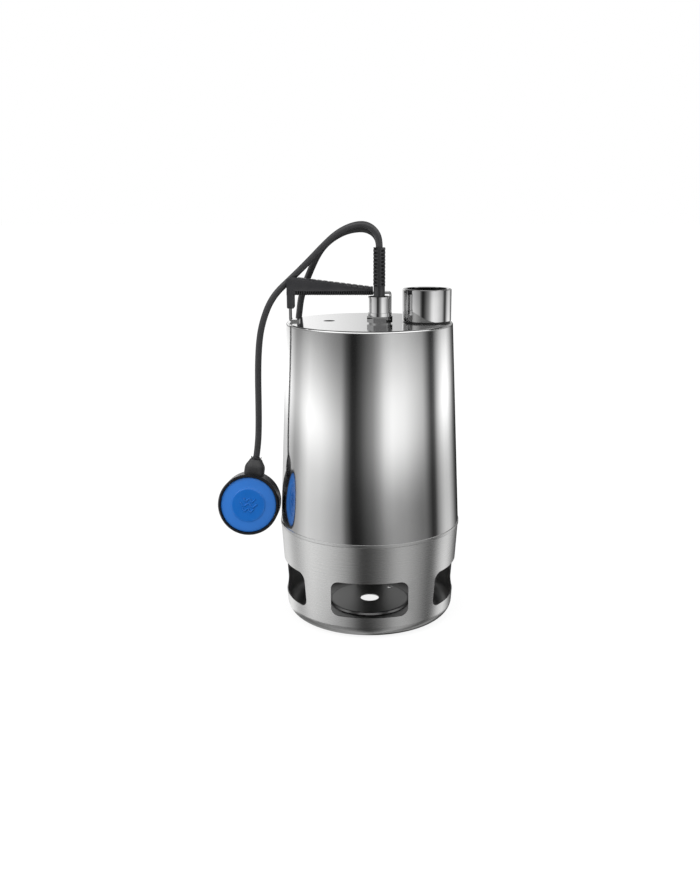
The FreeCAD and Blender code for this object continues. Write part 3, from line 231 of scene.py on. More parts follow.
def satin_stainless():
    """Satin sheet with fine lines round the strainer, and painted shade inside it and on the floor disc's
    step.
    """
    made = Finish("satin_stainless", (0.60, 0.60, 0.595), 0.28, 1.0)
    lines = made.noise(1.0, 3.0, made.wound(PUMP_AXIS, 3.0, 2200.0))
    out = made.radius(PUMP_AXIS)
    turned_in = made.between(made.outward(), *TURNED_IN, 1.0, 0.0)
    floor = made.between(out, *FLOOR_EDGE, 1.0, 0.0)
    under_lip = made.between(made.split()["Z"], *LIP_HEIGHTS, 1.0, 0.0)
    inside = made.math("MULTIPLY", made.math("MAXIMUM", turned_in, floor), under_lip)
    polish = made.between(lines, 0.3, 0.7, 0.265, 0.285)
    made.feed("Roughness", made.math("ADD", polish, made.math("MULTIPLY", inside, 0.08)))
    step = made.math("MULTIPLY", made.between(out, *DISC_STEP_INNER, 0.0, 1.0),
                     made.between(out, *DISC_STEP_OUTER, 1.0, 0.0))
    # painted shade: the strainer's inside is tinted darker by 0.62, and the floor disc's step by 0.2
    shade = made.math("ADD", made.math("MULTIPLY", inside, 0.62), made.math("MULTIPLY", step, 0.2))
    tone = made.math("SUBTRACT", made.between(lines, 0.3, 0.75, 0.972, 1.0), shade)
    made.tint(tone, 0.0, 1.0, (0.05, 0.05, 0.051), (0.63, 0.63, 0.625))
    made.bump(lines, 1e-6, 0.4)
    return made.material


def chromed_fitting():
    """Bright plating over machined brass, with turning lines under it."""
    made = Finish("chromed_fitting", (0.56, 0.56, 0.56), 0.04, 1.0)
    made.feed("Roughness", made.between(made.noise(60.0, 3.0), 0.3, 0.7, 0.03, 0.06))
    made.tint(made.noise(35.0, 2.0), 0.3, 0.7, (0.54, 0.54, 0.545), (0.60, 0.60, 0.595))
    made.bump(made.noise(1.0, 1.0, made.wound(PORT_AXIS, 1.5, 1500.0)), 3e-6, 0.5)
    return made.material


def moulded(name, dark, light, roughness, grain, depth, **sockets):
    """Rubber or plastic: a fine moulded grain, tone that wanders a little, and painted shade in grooves and
    pockets.
    """
    made = Finish(name, light, roughness, **sockets)
    cloud = made.between(made.noise(28.0, 4.0), 0.32, 0.68, 0.75, 1.0)
    # painted shade: the tone darkens in grooves and pockets by ambient occlusion
    made.tint(made.math("MULTIPLY", cloud, made.crevice_shade()), 0.15, 1.0, dark, light)
    wear = made.noise(140.0, 3.0)
    made.feed("Roughness", made.between(wear, 0.3, 0.7, roughness - 0.05, roughness + 0.06))
    made.bump(made.math("ADD", made.cells(grain), made.noise(grain * 0.6, 4.0)), depth, 0.6)
    return made.material


def float_plastic():
    """Blue shell: a darker disc in the middle, and round it a rougher ring painted lighter as a highlight.
    """
    made = Finish("float_blue", (0.0, 0.14, 0.53), 0.28, Specular_IOR_Level=0.35)
    away = made.nodes.new("ShaderNodeVectorMath")
    away.operation = "DISTANCE"
    away.inputs[1].default_value = FLOAT_CENTRE
    made.links.new(made.place, away.inputs[0])
    ring = made.between(away.outputs["Value"], *FLOAT_SHEEN_RING, 0.0, 1.0)
    cloud = made.between(made.noise(28.0, 4.0), 0.32, 0.68, 0.0, 0.3)
    # painted highlight: the outer ring is tinted lighter; its roughness rises as well
    made.tint(made.math("ADD", made.math("MULTIPLY", ring, 0.7), cloud), 0.0, 1.0,
              (0.0, 0.12, 0.48), (0.03, 0.18, 0.60))
    made.feed("Roughness", made.between(ring, 0.0, 1.0, 0.22, 0.32))
    made.bump(made.cells(700.0), 8e-6, 0.6)
    return made.material


def steel_part():
    """Machined steel: turning marks and a thin film of oil."""
    made = Finish("steel_part", (0.45, 0.45, 0.46), 0.3, 1.0)
    marks = made.noise(1.0, 3.0, made.stretched(40.0, 40.0, 2500.0))
    made.feed("Roughness", made.between(marks, 0.3, 0.7, 0.24, 0.38))
    made.tint(made.noise(50.0, 3.0), 0.3, 0.7, (0.40, 0.40, 0.41), (0.50, 0.50, 0.51))
    made.bump(marks, 1.5e-5, 0.5)
    return made.material


def cast_part():
    """Sand-cast iron: a pebbled skin with darker pits."""
    made = Finish("cast_part", (0.20, 0.20, 0.21), 0.6, 0.6)
    skin = made.noise(450.0, 5.0)
    made.tint(made.noise(90.0, 5.0), 0.35, 0.7, (0.13, 0.13, 0.14), (0.25, 0.25, 0.26))
    made.feed("Roughness", made.between(skin, 0.3, 0.7, 0.5, 0.72))
    made.bump(skin, 2e-4, 0.7)
    return made.material


LAMINATION = 0.001      # pitch of the core's sheets


def core_steel():
    """A stack of laminations."""
    made = Finish("core_steel", (0.25, 0.25, 0.27), 0.45, 0.8)
    sheets = made.math("SINE", made.math("MULTIPLY", made.split()["Z"], 2 * math.pi / LAMINATION))
    made.tint(made.between(sheets, -1.0, 1.0, 0.0, 1.0), 0.1, 0.5, (0.10, 0.10, 0.11), (0.30, 0.30, 0.33))
    made.bump(sheets, 1e-4, 0.6)
    return made.material


def copper_winding():
    """Bundles of varnished wire, laid round the bore."""
    made = Finish("copper_winding", (0.55, 0.22, 0.08), 0.28, 0.9, Coat_Weight=0.4)
    strands = made.noise(1.0, 2.0, made.wound(MOTOR_AXIS, 14.0, 1400.0))
    made.tint(strands, 0.3, 0.7, (0.30, 0.10, 0.035), (0.66, 0.29, 0.12))
    made.bump(strands, 3e-4, 0.9)
    return made.material


def aluminium_part():
    """Die-cast aluminium with a light flow pattern."""
    made = Finish("aluminium_part", (0.60, 0.60, 0.62), 0.42, 1.0)
    flow = made.noise(60.0, 4.0)
    made.tint(flow, 0.3, 0.7, (0.53, 0.53, 0.55), (0.65, 0.65, 0.67))
    made.feed("Roughness", made.between(flow, 0.3, 0.7, 0.35, 0.5))
    made.bump(made.noise(700.0, 3.0), 4e-5, 0.6)
    return made.material


def seal_ceramic():
    """Ground ceramic with a faint speckle."""
    made = Finish("seal_ceramic", (0.75, 0.72, 0.65), 0.25)
    made.tint(made.cells(900.0), 0.1, 0.6, (0.66, 0.62, 0.55), (0.78, 0.75, 0.69))
    made.bump(made.noise(800.0, 2.0), 1e-5, 0.5)
    return made.material


def pin_metal():
    """Plated brass, brushed along the pins."""
    made = Finish("pin_metal", (0.70, 0.62, 0.42), 0.2, 1.0)
    brush = made.noise(1.0, 3.0, made.stretched(3000.0, 60.0, 3000.0))
    made.feed("Roughness", made.between(brush, 0.3, 0.7, 0.16, 0.3))
    made.tint(brush, 0.3, 0.7, (0.62, 0.54, 0.36), (0.74, 0.66, 0.46))
    made.bump(brush, 1e-5, 0.5)
    return made.material


def all_finishes():
    """One material for each of the record's slots, and a darker one for the float's band."""
    return {
        "polished_stainless": polished_stainless(),
        "satin_stainless": satin_stainless(),
        "chromed_fitting": chromed_fitting(),
        "cable_jacket": moulded("cable_jacket", (0.014, 0.014, 0.015), (0.041, 0.041, 0.043),
                                0.42, 1500.0, 3e-5),
        "black_rubber": moulded("black_rubber", (0.002, 0.002, 0.002), (0.034, 0.034, 0.036),
                                0.38, 1200.0, 3e-5),
        "black_plastic": moulded("black_plastic", (0.002, 0.002, 0.002), (0.036, 0.036, 0.039),
                                 0.36, 1000.0, 3e-5),
        "float_blue": float_plastic(),
        "steel_part": steel_part(),
        "cast_part": cast_part(),
        "core_steel": core_steel(),
        "copper_winding": copper_winding(),
        "aluminium_part": aluminium_part(),
        "seal_ceramic": seal_ceramic(),
        "pin_metal": pin_metal(),
        "white_plastic": moulded("white_plastic", (0.55, 0.55, 0.52), (0.77, 0.77, 0.74),
                                 0.45, 900.0, 3e-5),
        "band_plastic": moulded("band_plastic", (0.002, 0.002, 0.003), (0.009, 0.010, 0.013),
                                0.30, 1000.0, 2e-5),
    }


FINISHES = all_finishes()


def dress_nodes():
    """Give every CAD node the material of its slot, and the float's band its own."""
    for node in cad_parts.values():
        slot = node.material_slots[0]
        slot.material = FINISHES[slot.material.name.split(".")[0]]
    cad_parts["float_band"].material_slots[0].material = FINISHES["band_plastic"]


# ---------------------------------------------------------------- mesh helpers

def finish_piece(piece, slot, body, replaced):
    """Give a new piece its material, its body and the CAD nodes that it stands for."""
    piece.data.materials.append(FINISHES[slot])
    if body:
        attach(piece, body)
    if replaced:
        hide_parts(*replaced)
    return piece


def skin(name, rings, slot, body="pump", replaced=(), capped=True, place=None):
    """A closed surface through rings of points, all with the same count."""
    count = len(rings[0])
    points = [point for ring in rings for point in ring]
    if place:
        points = [place @ Vector(point) for point in points]
    faces = []
    for row in range(len(rings) - 1):
        for index in range(count):
            after = (index + 1) % count
            faces.append((row * count + index, row * count + after,
                          (row + 1) * count + after, (row + 1) * count + index))
    if capped:
        faces.append(tuple(reversed(range(count))))
        faces.append(tuple(range((len(rings) - 1) * count, len(rings) * count)))
    mesh = bpy.data.meshes.new(name)
    mesh.from_pydata([tuple(point) for point in points], [], faces)
    mesh.shade_smooth()
    mesh.set_sharp_from_angle(angle=math.radians(38))
    piece = bpy.data.objects.new(name, mesh)
    bpy.context.scene.collection.objects.link(piece)
    return finish_piece(piece, slot, body, replaced)


def circle(radius, height, count, centre=(0.0, 0.0)):
    """A ring of points about the local Z axis."""
    turn = 2 * math.pi / count
    return [(centre[0] + radius * math.cos(index * turn),
             centre[1] + radius * math.sin(index * turn), height) for index in range(count)]


def smooth(value):
    """0 to 1 with a level start and end."""
    value = min(1.0, max(0.0, value))
    return value * value * (3 - 2 * value)


def tube_rings(path, radius, sides=20):
    """Rings round a path, turned as little as possible from one to the next."""
    points = [Vector(point) for point in path]
    headings = [(after - before).normalized()
                for before, after in zip(points[:1] + points[:-1], points[1:] + points[-1:])]
    side = headings[0].orthogonal().normalized()
    rings = []
    for point, heading in zip(points, headings):
        side = (side - heading * side.dot(heading)).normalized()
        across = heading.cross(side)
        rings.append([point + radius * (math.cos(turn) * side + math.sin(turn) * across)
                      for turn in (2 * math.pi * index / sides for index in range(sides))])
    return rings


# ---------------------------------------------------------------- cables

MAINS_RADIUS = 0.0046
FLOAT_CABLE_RADIUS = 0.0045

# The same routes as the CAD tubes follow.
MAINS_ROUTE = [
    (0.0127, -0.016, 0.5124), (0.0127, -0.016, 0.5202), (0.0068, -0.0158, 0.5302),
    (-0.004, -0.0146, 0.536), (-0.017, -0.0124, 0.5364), (-0.033, -0.009, 0.5328),
    (-0.048, -0.0044, 0.5248), (-0.061, 0.0014, 0.514), (-0.071, 0.008, 0.5),
    (-0.079, 0.016, 0.4835), (-0.0866, 0.026, 0.4665), (-0.0928, 0.0385, 0.4505),
    (-0.0973, 0.0535, 0.4353), (-0.1002, 0.07, 0.4195), (-0.1035, 0.084, 0.4),
    (-0.1065, 0.092, 0.368), (-0.1075, 0.096, 0.325), (-0.106, 0.098, 0.275),
    (-0.1035, 0.0995, 0.225), (-0.1005, 0.1015, 0.175), (-0.0965, 0.1055, 0.125),
    (-0.092, 0.114, 0.08), (-0.088, 0.129, 0.044), (-0.0865, 0.149, 0.02), (-0.09, 0.171, 0.0084),
    (-0.099, 0.193, 0.00575), (-0.1115, 0.2147, 0.00565)]
TAIL_ROUTE = [
    (0.0227, 0.3376, 0.00565), (0.047, 0.3237, 0.00565), (0.071, 0.3096, 0.0063),
    (0.092, 0.295, 0.0095), (0.103, 0.279, 0.0145), (0.108, 0.262, 0.019), (0.108, 0.244, 0.019)]
FLOAT_ROUTE = [
    (0.0127, -0.028, 0.5124), (0.0127, -0.028, 0.5242), (0.0066, -0.0278, 0.5352),
    (-0.0038, -0.027, 0.5419), (-0.016, -0.0256, 0.5422), (-0.031, -0.023, 0.5374),
    (-0.046, -0.019, 0.5284), (-0.062, -0.0125, 0.5136), (-0.08, -0.004, 0.4952),
    (-0.0975, 0.002, 0.4782), (-0.1128, 0.003, 0.464), (-0.126, 0.003, 0.4515),
    (-0.1365, 0.003, 0.436), (-0.1443, 0.003, 0.4165), (-0.1499, 0.003, 0.395),
    (-0.153, 0.003, 0.366), (-0.1542, 0.003, 0.332), (-0.1544, 0.003, 0.296),
    (-0.155, 0.003, 0.264), (-0.15662, 0.00197, 0.2386), (-0.15898, -0.00025, 0.22294)]

# The coil: four columns and five rows of turns, wound clockwise as seen from above.
COIL_CENTRE = (-0.025, 0.255)
COIL_INNER_TURN = 0.0672
COIL_LOWEST = 0.00565
COLUMN_STEP = 0.0094
ROW_STEP = 0.0093
ENTRY_ANGLE = 205       # degrees round the centre where the cable joins the outer turn
EXIT_ANGLE = 60         # and where it leaves for the plug
LAST_DESCENT = 75       # how far past the entry angle the last step down begins
SHIFT = 40              # degrees of turn that one step to the next place takes
POINT_STEP = 20         # degrees between two points
SETTLED_FROM = 220      # between these the outer turns lie one row lower
SETTLED_TO = 320


def coil_places():
    """The (column, row) places of the turns in the order they are wound."""
    places = [(column, 0) for column in (3, 2, 1, 0)]
    places += [(0, row) for row in (1, 2, 3, 4)]
    places += [(1, row) for row in (4, 3, 2, 1)]
    places += [(2, row) for row in (1, 2, 3, 4)]
    places += [(3, row) for row in (4, 3, 2, 1, 0)]
    return places


def coil_turns():
    """Points of the turns. Each step to a new place starts early enough to clear the turn before."""
    places = coil_places()
    steps = [(after[0] - before[0], after[1] - before[1])
             for before, after in zip(places, places[1:])]
    begins = []
    corners = 0
    for index, step in enumerate(steps):
        if index and step != steps[index - 1]:
            corners += 1
        begins.append(360 * index - SHIFT * corners)
    whole = math.ceil((begins[-2] + SHIFT - LAST_DESCENT) / 360)
    begins[-1] = 360 * whole + LAST_DESCENT
    end = 360 * whole + ENTRY_ANGLE - EXIT_ANGLE
    points = []
    for travelled in range(POINT_STEP, end - POINT_STEP // 2, POINT_STEP):
        column, row = places[0]
        for begin, (across, up) in zip(begins, steps):
            share = smooth((travelled - begin) / SHIFT)
            column += share * across
            row += share * up
        # the outer turns settle one row lower where nothing lies under them
        round_it = travelled % 360
        settling = smooth((round_it - SETTLED_FROM) / SHIFT)
        row -= settling * (1 - smooth((round_it - SETTLED_TO) / SHIFT)) * max(0.0, column - 2)
        radius = (COIL_INNER_TURN + COLUMN_STEP * column) / math.cos(math.radians(POINT_STEP / 2))
        angle = math.radians(ENTRY_ANGLE - travelled)
        points.append((COIL_CENTRE[0] + radius * math.cos(angle),
                       COIL_CENTRE[1] + radius * math.sin(angle), COIL_LOWEST + ROW_STEP * row))
    return points


def cable_curve(name, route, radius):
    """A smooth curve with the route's points as its control points."""
    data = bpy.data.curves.new(name, "CURVE")
    data.dimensions = "3D"
    data.resolution_u = 8
    spline = data.splines.new("NURBS")
    spline.points.add(len(route) - 1)
    for point, place in zip(spline.points, route):
        point.co = (*place, 1.0)
    spline.order_u = 3
    spline.use_endpoint_u = True
    data.bevel_depth = radius
    data.bevel_resolution = 4
    data.use_fill_caps = True
    curve = bpy.data.objects.new(name, data)
    bpy.context.scene.collection.objects.link(curve)
    return curve


def curve_line(name, route):
    """Points along the smooth curve of a route."""
    curve = cable_curve(name, route, 0.0)
    mesh = bpy.data.meshes.new_from_object(curve)
    line = [vertex.co.copy() for vertex in mesh.vertices]
    bpy.data.meshes.remove(mesh)
    bpy.data.objects.remove(curve)
    return line


def mains_cable():
    """The whole mains cable: over the loop, down behind the pump, coiled, and on to its plug."""
    cable = cable_curve("mains_lead", MAINS_ROUTE + coil_turns() + TAIL_ROUTE, MAINS_RADIUS)
    return finish_piece(cable, "cable_jacket", "pump", ["mains_cable", "mains_coil"])


def float_cable():
    """The float's cable, drawn in one pose beyond the grip; nothing here bends it as the float swings."""
    line = curve_line("float_line", FLOAT_ROUTE)
    cable = skin("float_lead", tube_rings(line, FLOAT_CABLE_RADIUS), "cable_jacket", None,
                 ["float_cable_held", "float_cable_bend", "float_cable_hanging"])
    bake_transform(cable)


# ---------------------------------------------------------------- plug

PLUG_PLACE = Matrix.Translation((0.108, 0.168, 0.019)) @ Matrix.Rotation(math.radians(-90), 4, "X")
PLUG_SIDES = 120
PLUG_FLUTES = 24
FLUTE_DEPTH = 0.55
PLUG_NECK = 50.0        # where the plug ends and its bend protector begins
PROTECTOR_LENGTH = 26.0
PROTECTOR_PITCH = 3.25


def plug_body():
    """Round plug with a flat face, grip flutes on its sides and a shoulder to its neck."""
    outline = [(0.0, 16.0), (0.0, 17.6), (1.4, 18.9), (7.5, 18.9), (8.3, 18.2), (9.2, 18.9), (26.0, 18.6),
               (31.0, 17.0), (36.0, 13.6), (39.5, 11.2), (45.0, 9.6), (50.0, 9.0)]
    rings = []
    for (low, near), (high, far) in zip(outline, outline[1:]):
        for share in (0.0, 0.25, 0.5, 0.75):
            height = low + (high - low) * share
            radius = near + (far - near) * share
            fluted = smooth((height - 11) / 3) * (1 - smooth((height - 27) / 5))
            ring = []
            for index in range(PLUG_SIDES):
                turn = 2 * math.pi * index / PLUG_SIDES
                grip = fluted * abs(math.cos(turn)) ** 0.5
                flute = FLUTE_DEPTH * grip * (0.5 - 0.5 * math.cos(PLUG_FLUTES * turn))
                ring.append(((radius - flute) * MM * math.cos(turn),
                             (radius - flute) * MM * math.sin(turn), height * MM))
            rings.append(ring)
    rings.append(circle(9.0 * MM, PLUG_NECK * MM, PLUG_SIDES))
    return skin("plug_shell", rings, "black_plastic", "pump", ["mains_plug"], place=PLUG_PLACE)


def plug_sleeve():
    """Bend protector behind the plug: tapered, with rings."""
    count = 104
    rings = []
    for index in range(count + 1):
        height = PLUG_NECK + PROTECTOR_LENGTH * index / count
        taper = 7.5 - 1.7 * (height - PLUG_NECK) / PROTECTOR_LENGTH
        wave = 0.5 - 0.5 * math.cos(2 * math.pi * (height - PLUG_NECK) / PROTECTOR_PITCH)
        rings.append(circle((taper - 0.9 * smooth(1.6 * wave - 0.3)) * MM, height * MM, 40))
    return skin("plug_relief", rings, "black_rubber", "pump", ["plug_sleeve"], place=PLUG_PLACE)


# ---------------------------------------------------------------- twin strain relief

RELIEF_CENTRE = (12.7, -22.0)
RELIEF_GAP = 6.0        # from the middle to either cable's centre
RELIEF_TOP = 512.4
GLAND_TOP = 448.4
KNOB_PITCH = 4.8
RELIEF_SMOOTH_TOP = 462.5
RELIEF_FOOT_RADIUS = 7.5
KNOB_RADIUS = 8.0
POCKET_DEPTH = 2.9
GLAND_CENTRE = (13.5 * MM, -22.0 * MM)


def relief_radius(height, turn):
    """Radius of the relief's skin: a smooth foot, then a ladder of pockets staggered left and right."""
    facing = abs(math.sin(turn))
    if height < RELIEF_SMOOTH_TOP:
        return RELIEF_FOOT_RADIUS - 1.0 * smooth((facing - 0.985) / 0.012)
    left = math.cos(turn) < 0
    phase = (RELIEF_TOP - 1.6 - height) / KNOB_PITCH + (0.5 if left else 0.0)
    pocket = smooth(2.4 * (0.5 - 0.5 * math.cos(2 * math.pi * phase)) - 0.8)
    across = smooth((facing - 0.30) / 0.15) * (1 - smooth((facing - 0.93) / 0.03))
    ripple = 0.45 * pocket * (1 - smooth((facing - 0.3) / 0.15))
    seam = 0.8 * smooth((facing - 0.985) / 0.012)
    return KNOB_RADIUS - POCKET_DEPTH * pocket * across - ripple - seam


def relief_ring(height, shrink=0.0):
    """A stadium section round both cables."""
    ring = []
    steps = 96
    for index in range(steps):
        turn = 2 * math.pi * (index + 0.5) / steps
        radius = relief_radius(height, turn) - shrink
        lobe = RELIEF_GAP if math.sin(turn) > 0 else -RELIEF_GAP
        ring.append(((RELIEF_CENTRE[0] + radius * math.cos(turn)) * MM,
                     (RELIEF_CENTRE[1] + lobe + radius * math.sin(turn)) * MM, height * MM))
    return ring


def strain_relief():
    """Knobbed rubber relief of both cables, standing in the gland."""
    collar = [circle(radius * MM, height * MM, 96, GLAND_CENTRE)
              for radius, height in ((9.0, 430.0), (11.5, 430.5), (11.5, 447.6), (10.9, 448.3))]
    count = 170
    column = [relief_ring(GLAND_TOP - 0.6 + (RELIEF_TOP - GLAND_TOP + 0.6) * index / count)
              for index in range(count + 1)]
    return skin("relief_knobs", collar + column + [relief_ring(RELIEF_TOP, 1.5)], "black_rubber",
                "pump", ["strain_relief"])


# ---------------------------------------------------------------- grip

GRIP_MIDDLE = 3.0
GRIP_LEFT, GRIP_RIGHT = -111.8, 4.6
GRIP_LEG = -102.0
GRIP_BOTTOM, GRIP_LOW = 448.7, 430.6
GRIP_HIGH, GRIP_END_HIGH = 473.0, 459.2
GRIP_LEDGE = 453.6
GRIP_HALF = 11.0
SLOT_GAP = 0.0006       # between the float cable and the slot's sides
SLOT_FRONT = -0.0028
SLOT_BACK = 0.030
RIB_PITCH = 3.0
NOTCH_PITCH = 8.0


def grip_ring(x):
    """Section across the bar: ribbed lower band, a ledge, hollowed sides and a notched top."""
    top = GRIP_END_HIGH + (GRIP_HIGH - GRIP_END_HIGH) * (GRIP_RIGHT - x) / (GRIP_RIGHT - GRIP_LEFT - 5)
    top = min(top, GRIP_HIGH) - 2.4 * (1 - smooth((x - GRIP_LEFT) / 5))
    ribbed = smooth((x - GRIP_LEG - 1) / 2)
    rib = ribbed * smooth(2.2 * (0.5 - 0.5 * math.cos(2 * math.pi * (GRIP_RIGHT - x) / RIB_PITCH)) - 0.7)
    notch = smooth((x + 92) / 6) * smooth(4 * (0.5 + 0.5 * math.cos(2 * math.pi * x / NOTCH_PITCH)) - 2.6)
    end = 1 - smooth((GRIP_RIGHT - x) / 1.5)
    band = GRIP_HALF - 2.0 * rib - 0.8 * end
    side = GRIP_HALF - 0.9 - 0.8 * end
    hollow = 0.9 * smooth((top - 459) / 6)
    middle = 0.5 * (455.4 + top - 2.6)
    right = [(band - 1.2, GRIP_BOTTOM + 0.15 * rib), (band, GRIP_BOTTOM + 1.0 + 0.5 * rib),
             (band, GRIP_LEDGE), (side, 454.2), (side - 0.25 * hollow, 455.2), (side - hollow, middle),
             (side - 0.3 * hollow, top - 2.6), (side - 0.5 - 0.3 * notch, top - 1.5 - 0.5 * notch),
             (side - 1.5 - 0.8 * notch, top - 0.5 - 0.8 * notch),
             (side - 3.2, top - 0.5 * notch), (side - 7.0, top + 0.1 - 0.4 * notch)]
    left = [(-across, height) for across, height in reversed(right)]
    return [(x * MM, (GRIP_MIDDLE + across) * MM, height * MM) for across, height in right + left]


def leg_ring(z):
    """Section across the leg that covers the strap's upright."""
    shrink = 0.9 * (1 - smooth((z - GRIP_LOW) / 1.2))
    left = GRIP_LEFT + shrink
    right = GRIP_LEG - shrink
    half = GRIP_HALF - shrink
    corner = 2.2
    corners = ((right, half, 0), (left, half, 90), (left, -half, 180), (right, -half, 270))
    ring = []
    for across, along, first in corners:
        centre_x = across - math.copysign(corner, across - 0.5 * (left + right))
        centre_y = along - math.copysign(corner, along)
        for step in range(5):
            turn = math.radians(first + 22.5 * step)
            ring.append(((centre_x + corner * math.cos(turn)) * MM,
                         (GRIP_MIDDLE + centre_y + corner * math.sin(turn)) * MM, z * MM))
    return ring


def solid(name, rings):
    """A bare closed mesh through rings, for joining and cutting."""
    return skin(name, rings, "black_plastic", None)


def cut(piece, other, operation):
    """Join or cut a piece with another, which is then removed."""
    modifier = piece.modifiers.new("cut", "BOOLEAN")
    modifier.operation = operation
    modifier.object = other
    modifier.solver = "EXACT"
    mesh = bpy.data.meshes.new_from_object(piece.evaluated_get(bpy.context.evaluated_depsgraph_get()))
    piece.modifiers.clear()
    piece.data = mesh
    bpy.data.objects.remove(other)


def handle_grip():
    """Grip moulded over the strap, with a slot behind its front wall for the float cable."""
    count = int((GRIP_RIGHT - GRIP_LEFT) / 0.5)
    stations = [GRIP_LEFT + (GRIP_RIGHT - GRIP_LEFT) * index / count for index in range(count + 1)]
    grip = solid("grip_shell", [grip_ring(x) for x in stations])
    heights = (GRIP_LOW, 430.9, 431.3, 432.0, 441.0, 451.0, 455.0)
    leg = solid("grip_leg", [leg_ring(z) for z in heights])
    cut(grip, leg, "UNION")
    start, end = Vector(FLOAT_ROUTE[9]), Vector(FLOAT_ROUTE[10])
    heading = (end - start).normalized()
    side = Vector((-heading.z, 0.0, heading.x)).normalized() * (FLOAT_CABLE_RADIUS + SLOT_GAP)
    low = Vector((0.0, SLOT_FRONT - start.y, 0.0))
    high = Vector((0.0, SLOT_BACK, 0.0))
    start, end = start - 0.012 * heading, end + 0.02 * heading
    ring = [start - side + low, start - side + high, start + side + high, start + side + low]
    far = [point + end - start for point in ring]
    slot = solid("grip_slot", [ring, far])
    cut(grip, slot, "DIFFERENCE")
    grip.data.shade_smooth()
    grip.data.set_sharp_from_angle(angle=math.radians(32))
    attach(grip, "pump")
    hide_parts("handle_grip")


# ---------------------------------------------------------------- float

FLOAT_TILT, FLOAT_LEAN = 8.5, 8.0
FLOAT_PLACE = Matrix.Translation(FLOAT_CENTRE) @ Matrix.Rotation(
    math.radians(math.hypot(FLOAT_TILT, FLOAT_LEAN)), 4, Vector((-FLOAT_LEAN, FLOAT_TILT, 0.0)))
BAND_RADIUS = 42.5
DISC_HEIGHT = 22.45     # of the raised disc above the float's middle
WAVE_ROWS = ((-7.0, 8.5), (0.0, 12.0), (7.0, 8.5))      # height and half length of each raised line
WAVE_SWING = 2.2
WAVE_RADIUS = 1.25
BOOT_SIDES = 72
PRONG_SECTIONS = (      # height, outer radius, thickness and half width
    (61.4, 6.5, 1.3, 2.2), (63.6, 6.9, 1.2, 2.1), (65.2, 7.3, 1.0, 1.9), (65.9, 7.2, 0.5, 1.3))


def float_shell(side, name, node):
    """Half of the float: a raised centre disc, a step and a gently sloping outer ring."""
    outline = [(0.01, 22.4), (9.0, 22.45), (17.0, 22.6), (21.6, 22.8), (22.6, 22.7), (23.2, 22.3),
               (23.6, 22.0), (24.2, 21.8), (27.0, 21.5), (31.5, 20.9), (35.3, 20.3), (37.4, 19.9),
               (38.3, 19.4), (38.7, 18.6), (38.7, 18.0), (37.3, 17.4), (37.3, 0.05), (35.4, 0.05),
               (35.4, 16.0), (0.01, 17.0)]
    turned = FLOAT_PLACE @ Matrix.Rotation(math.radians(90 * side), 4, "X")
    rings = [circle(radius * MM, height * MM, 96) for radius, height in outline]
    return skin(name, rings, "float_blue", "float", [node], place=turned)


def float_mark():
    """Three raised wave lines in the middle of the front face."""
    front = FLOAT_PLACE @ Matrix.Rotation(math.radians(90), 4, "X")
    marks = []
    for row, half in WAVE_ROWS:
        path = []
        for share in range(41):
            height = row + WAVE_SWING * math.cos(math.pi * share / 10)
            path.append(((half * (share / 20 - 1)) * MM, height * MM, DISC_HEIGHT * MM))
        marks.append(skin("wave", tube_rings(path, WAVE_RADIUS * MM, 12), "float_blue", None, place=front))
    mesh = bpy.data.meshes.new("float_mark")
    joined = bpy.data.objects.new("float_mark", mesh)
    bpy.context.scene.collection.objects.link(joined)
    points = []
    faces = []
    for mark in marks:
        first = len(points)
        points += [tuple(vertex.co) for vertex in mark.data.vertices]
        faces += [tuple(first + index for index in face.vertices) for face in mark.data.polygons]
        bpy.data.objects.remove(mark)
    mesh.from_pydata(points, [], faces)
    mesh.shade_smooth()
    return finish_piece(joined, "float_blue", "float", ())


def boot_ring(height, wide, deep):
    """A rounded-box section of the boot. Without a height it lies on the band."""
    ring = []
    for index in range(BOOT_SIDES):
        turn = 2 * math.pi * index / BOOT_SIDES
        across, along = math.cos(turn), math.sin(turn)
        x = wide * math.copysign(abs(across) ** 0.7, across)
        y = deep * math.copysign(abs(along) ** 0.7, along)
        z = math.sqrt(BAND_RADIUS ** 2 - x * x) - 0.15 if height is None else height
        ring.append((x * MM, y * MM, z * MM))
    return ring


def prong_ring(height, out, thick, half):
    """Section of a prong at the boot's mouth."""
    inner = out - thick
    section = [(inner, -half), (out, -half * 0.8), (out + 0.15, 0), (out, half * 0.8), (inner, half),
               (inner - 0.1, 0)]
    return [(x * MM, y * MM, height * MM) for x, y in section]


def float_boot():
    """Rubber boot that holds the cable in the float: broad foot, shoulders and a pronged mouth."""
    outline = [(None, 14.1, 11.8), (45.0, 14.2, 11.8), (50.0, 14.1, 11.7), (52.6, 13.6, 11.3),
               (54.8, 12.6, 10.7), (57.0, 11.2, 9.9), (59.2, 9.8, 9.0), (61.0, 8.9, 8.3),
               (62.0, 8.5, 8.0), (62.3, 7.9, 7.5), (62.3, 5.6, 5.6), (65.6, 5.2, 5.2)]
    boot = skin("boot_shell", [boot_ring(*row) for row in outline], "black_rubber", "float",
                ["float_boot"], place=FLOAT_PLACE)
    for index in range(4):
        spin = FLOAT_PLACE @ Matrix.Rotation(math.radians(90 * index), 4, "Z")
        rings = [prong_ring(*section) for section in PRONG_SECTIONS]
        skin(f"boot_prong_{index + 1}", rings, "black_rubber", "float", place=spin)
    return boot


# ---------------------------------------------------------------- floor and studio

FLOOR_RADIUS = 30.0
FLOOR_HEIGHT = -0.0002
FLOOR_GLOW = 0.86
FLOOR_GREY = 0.17


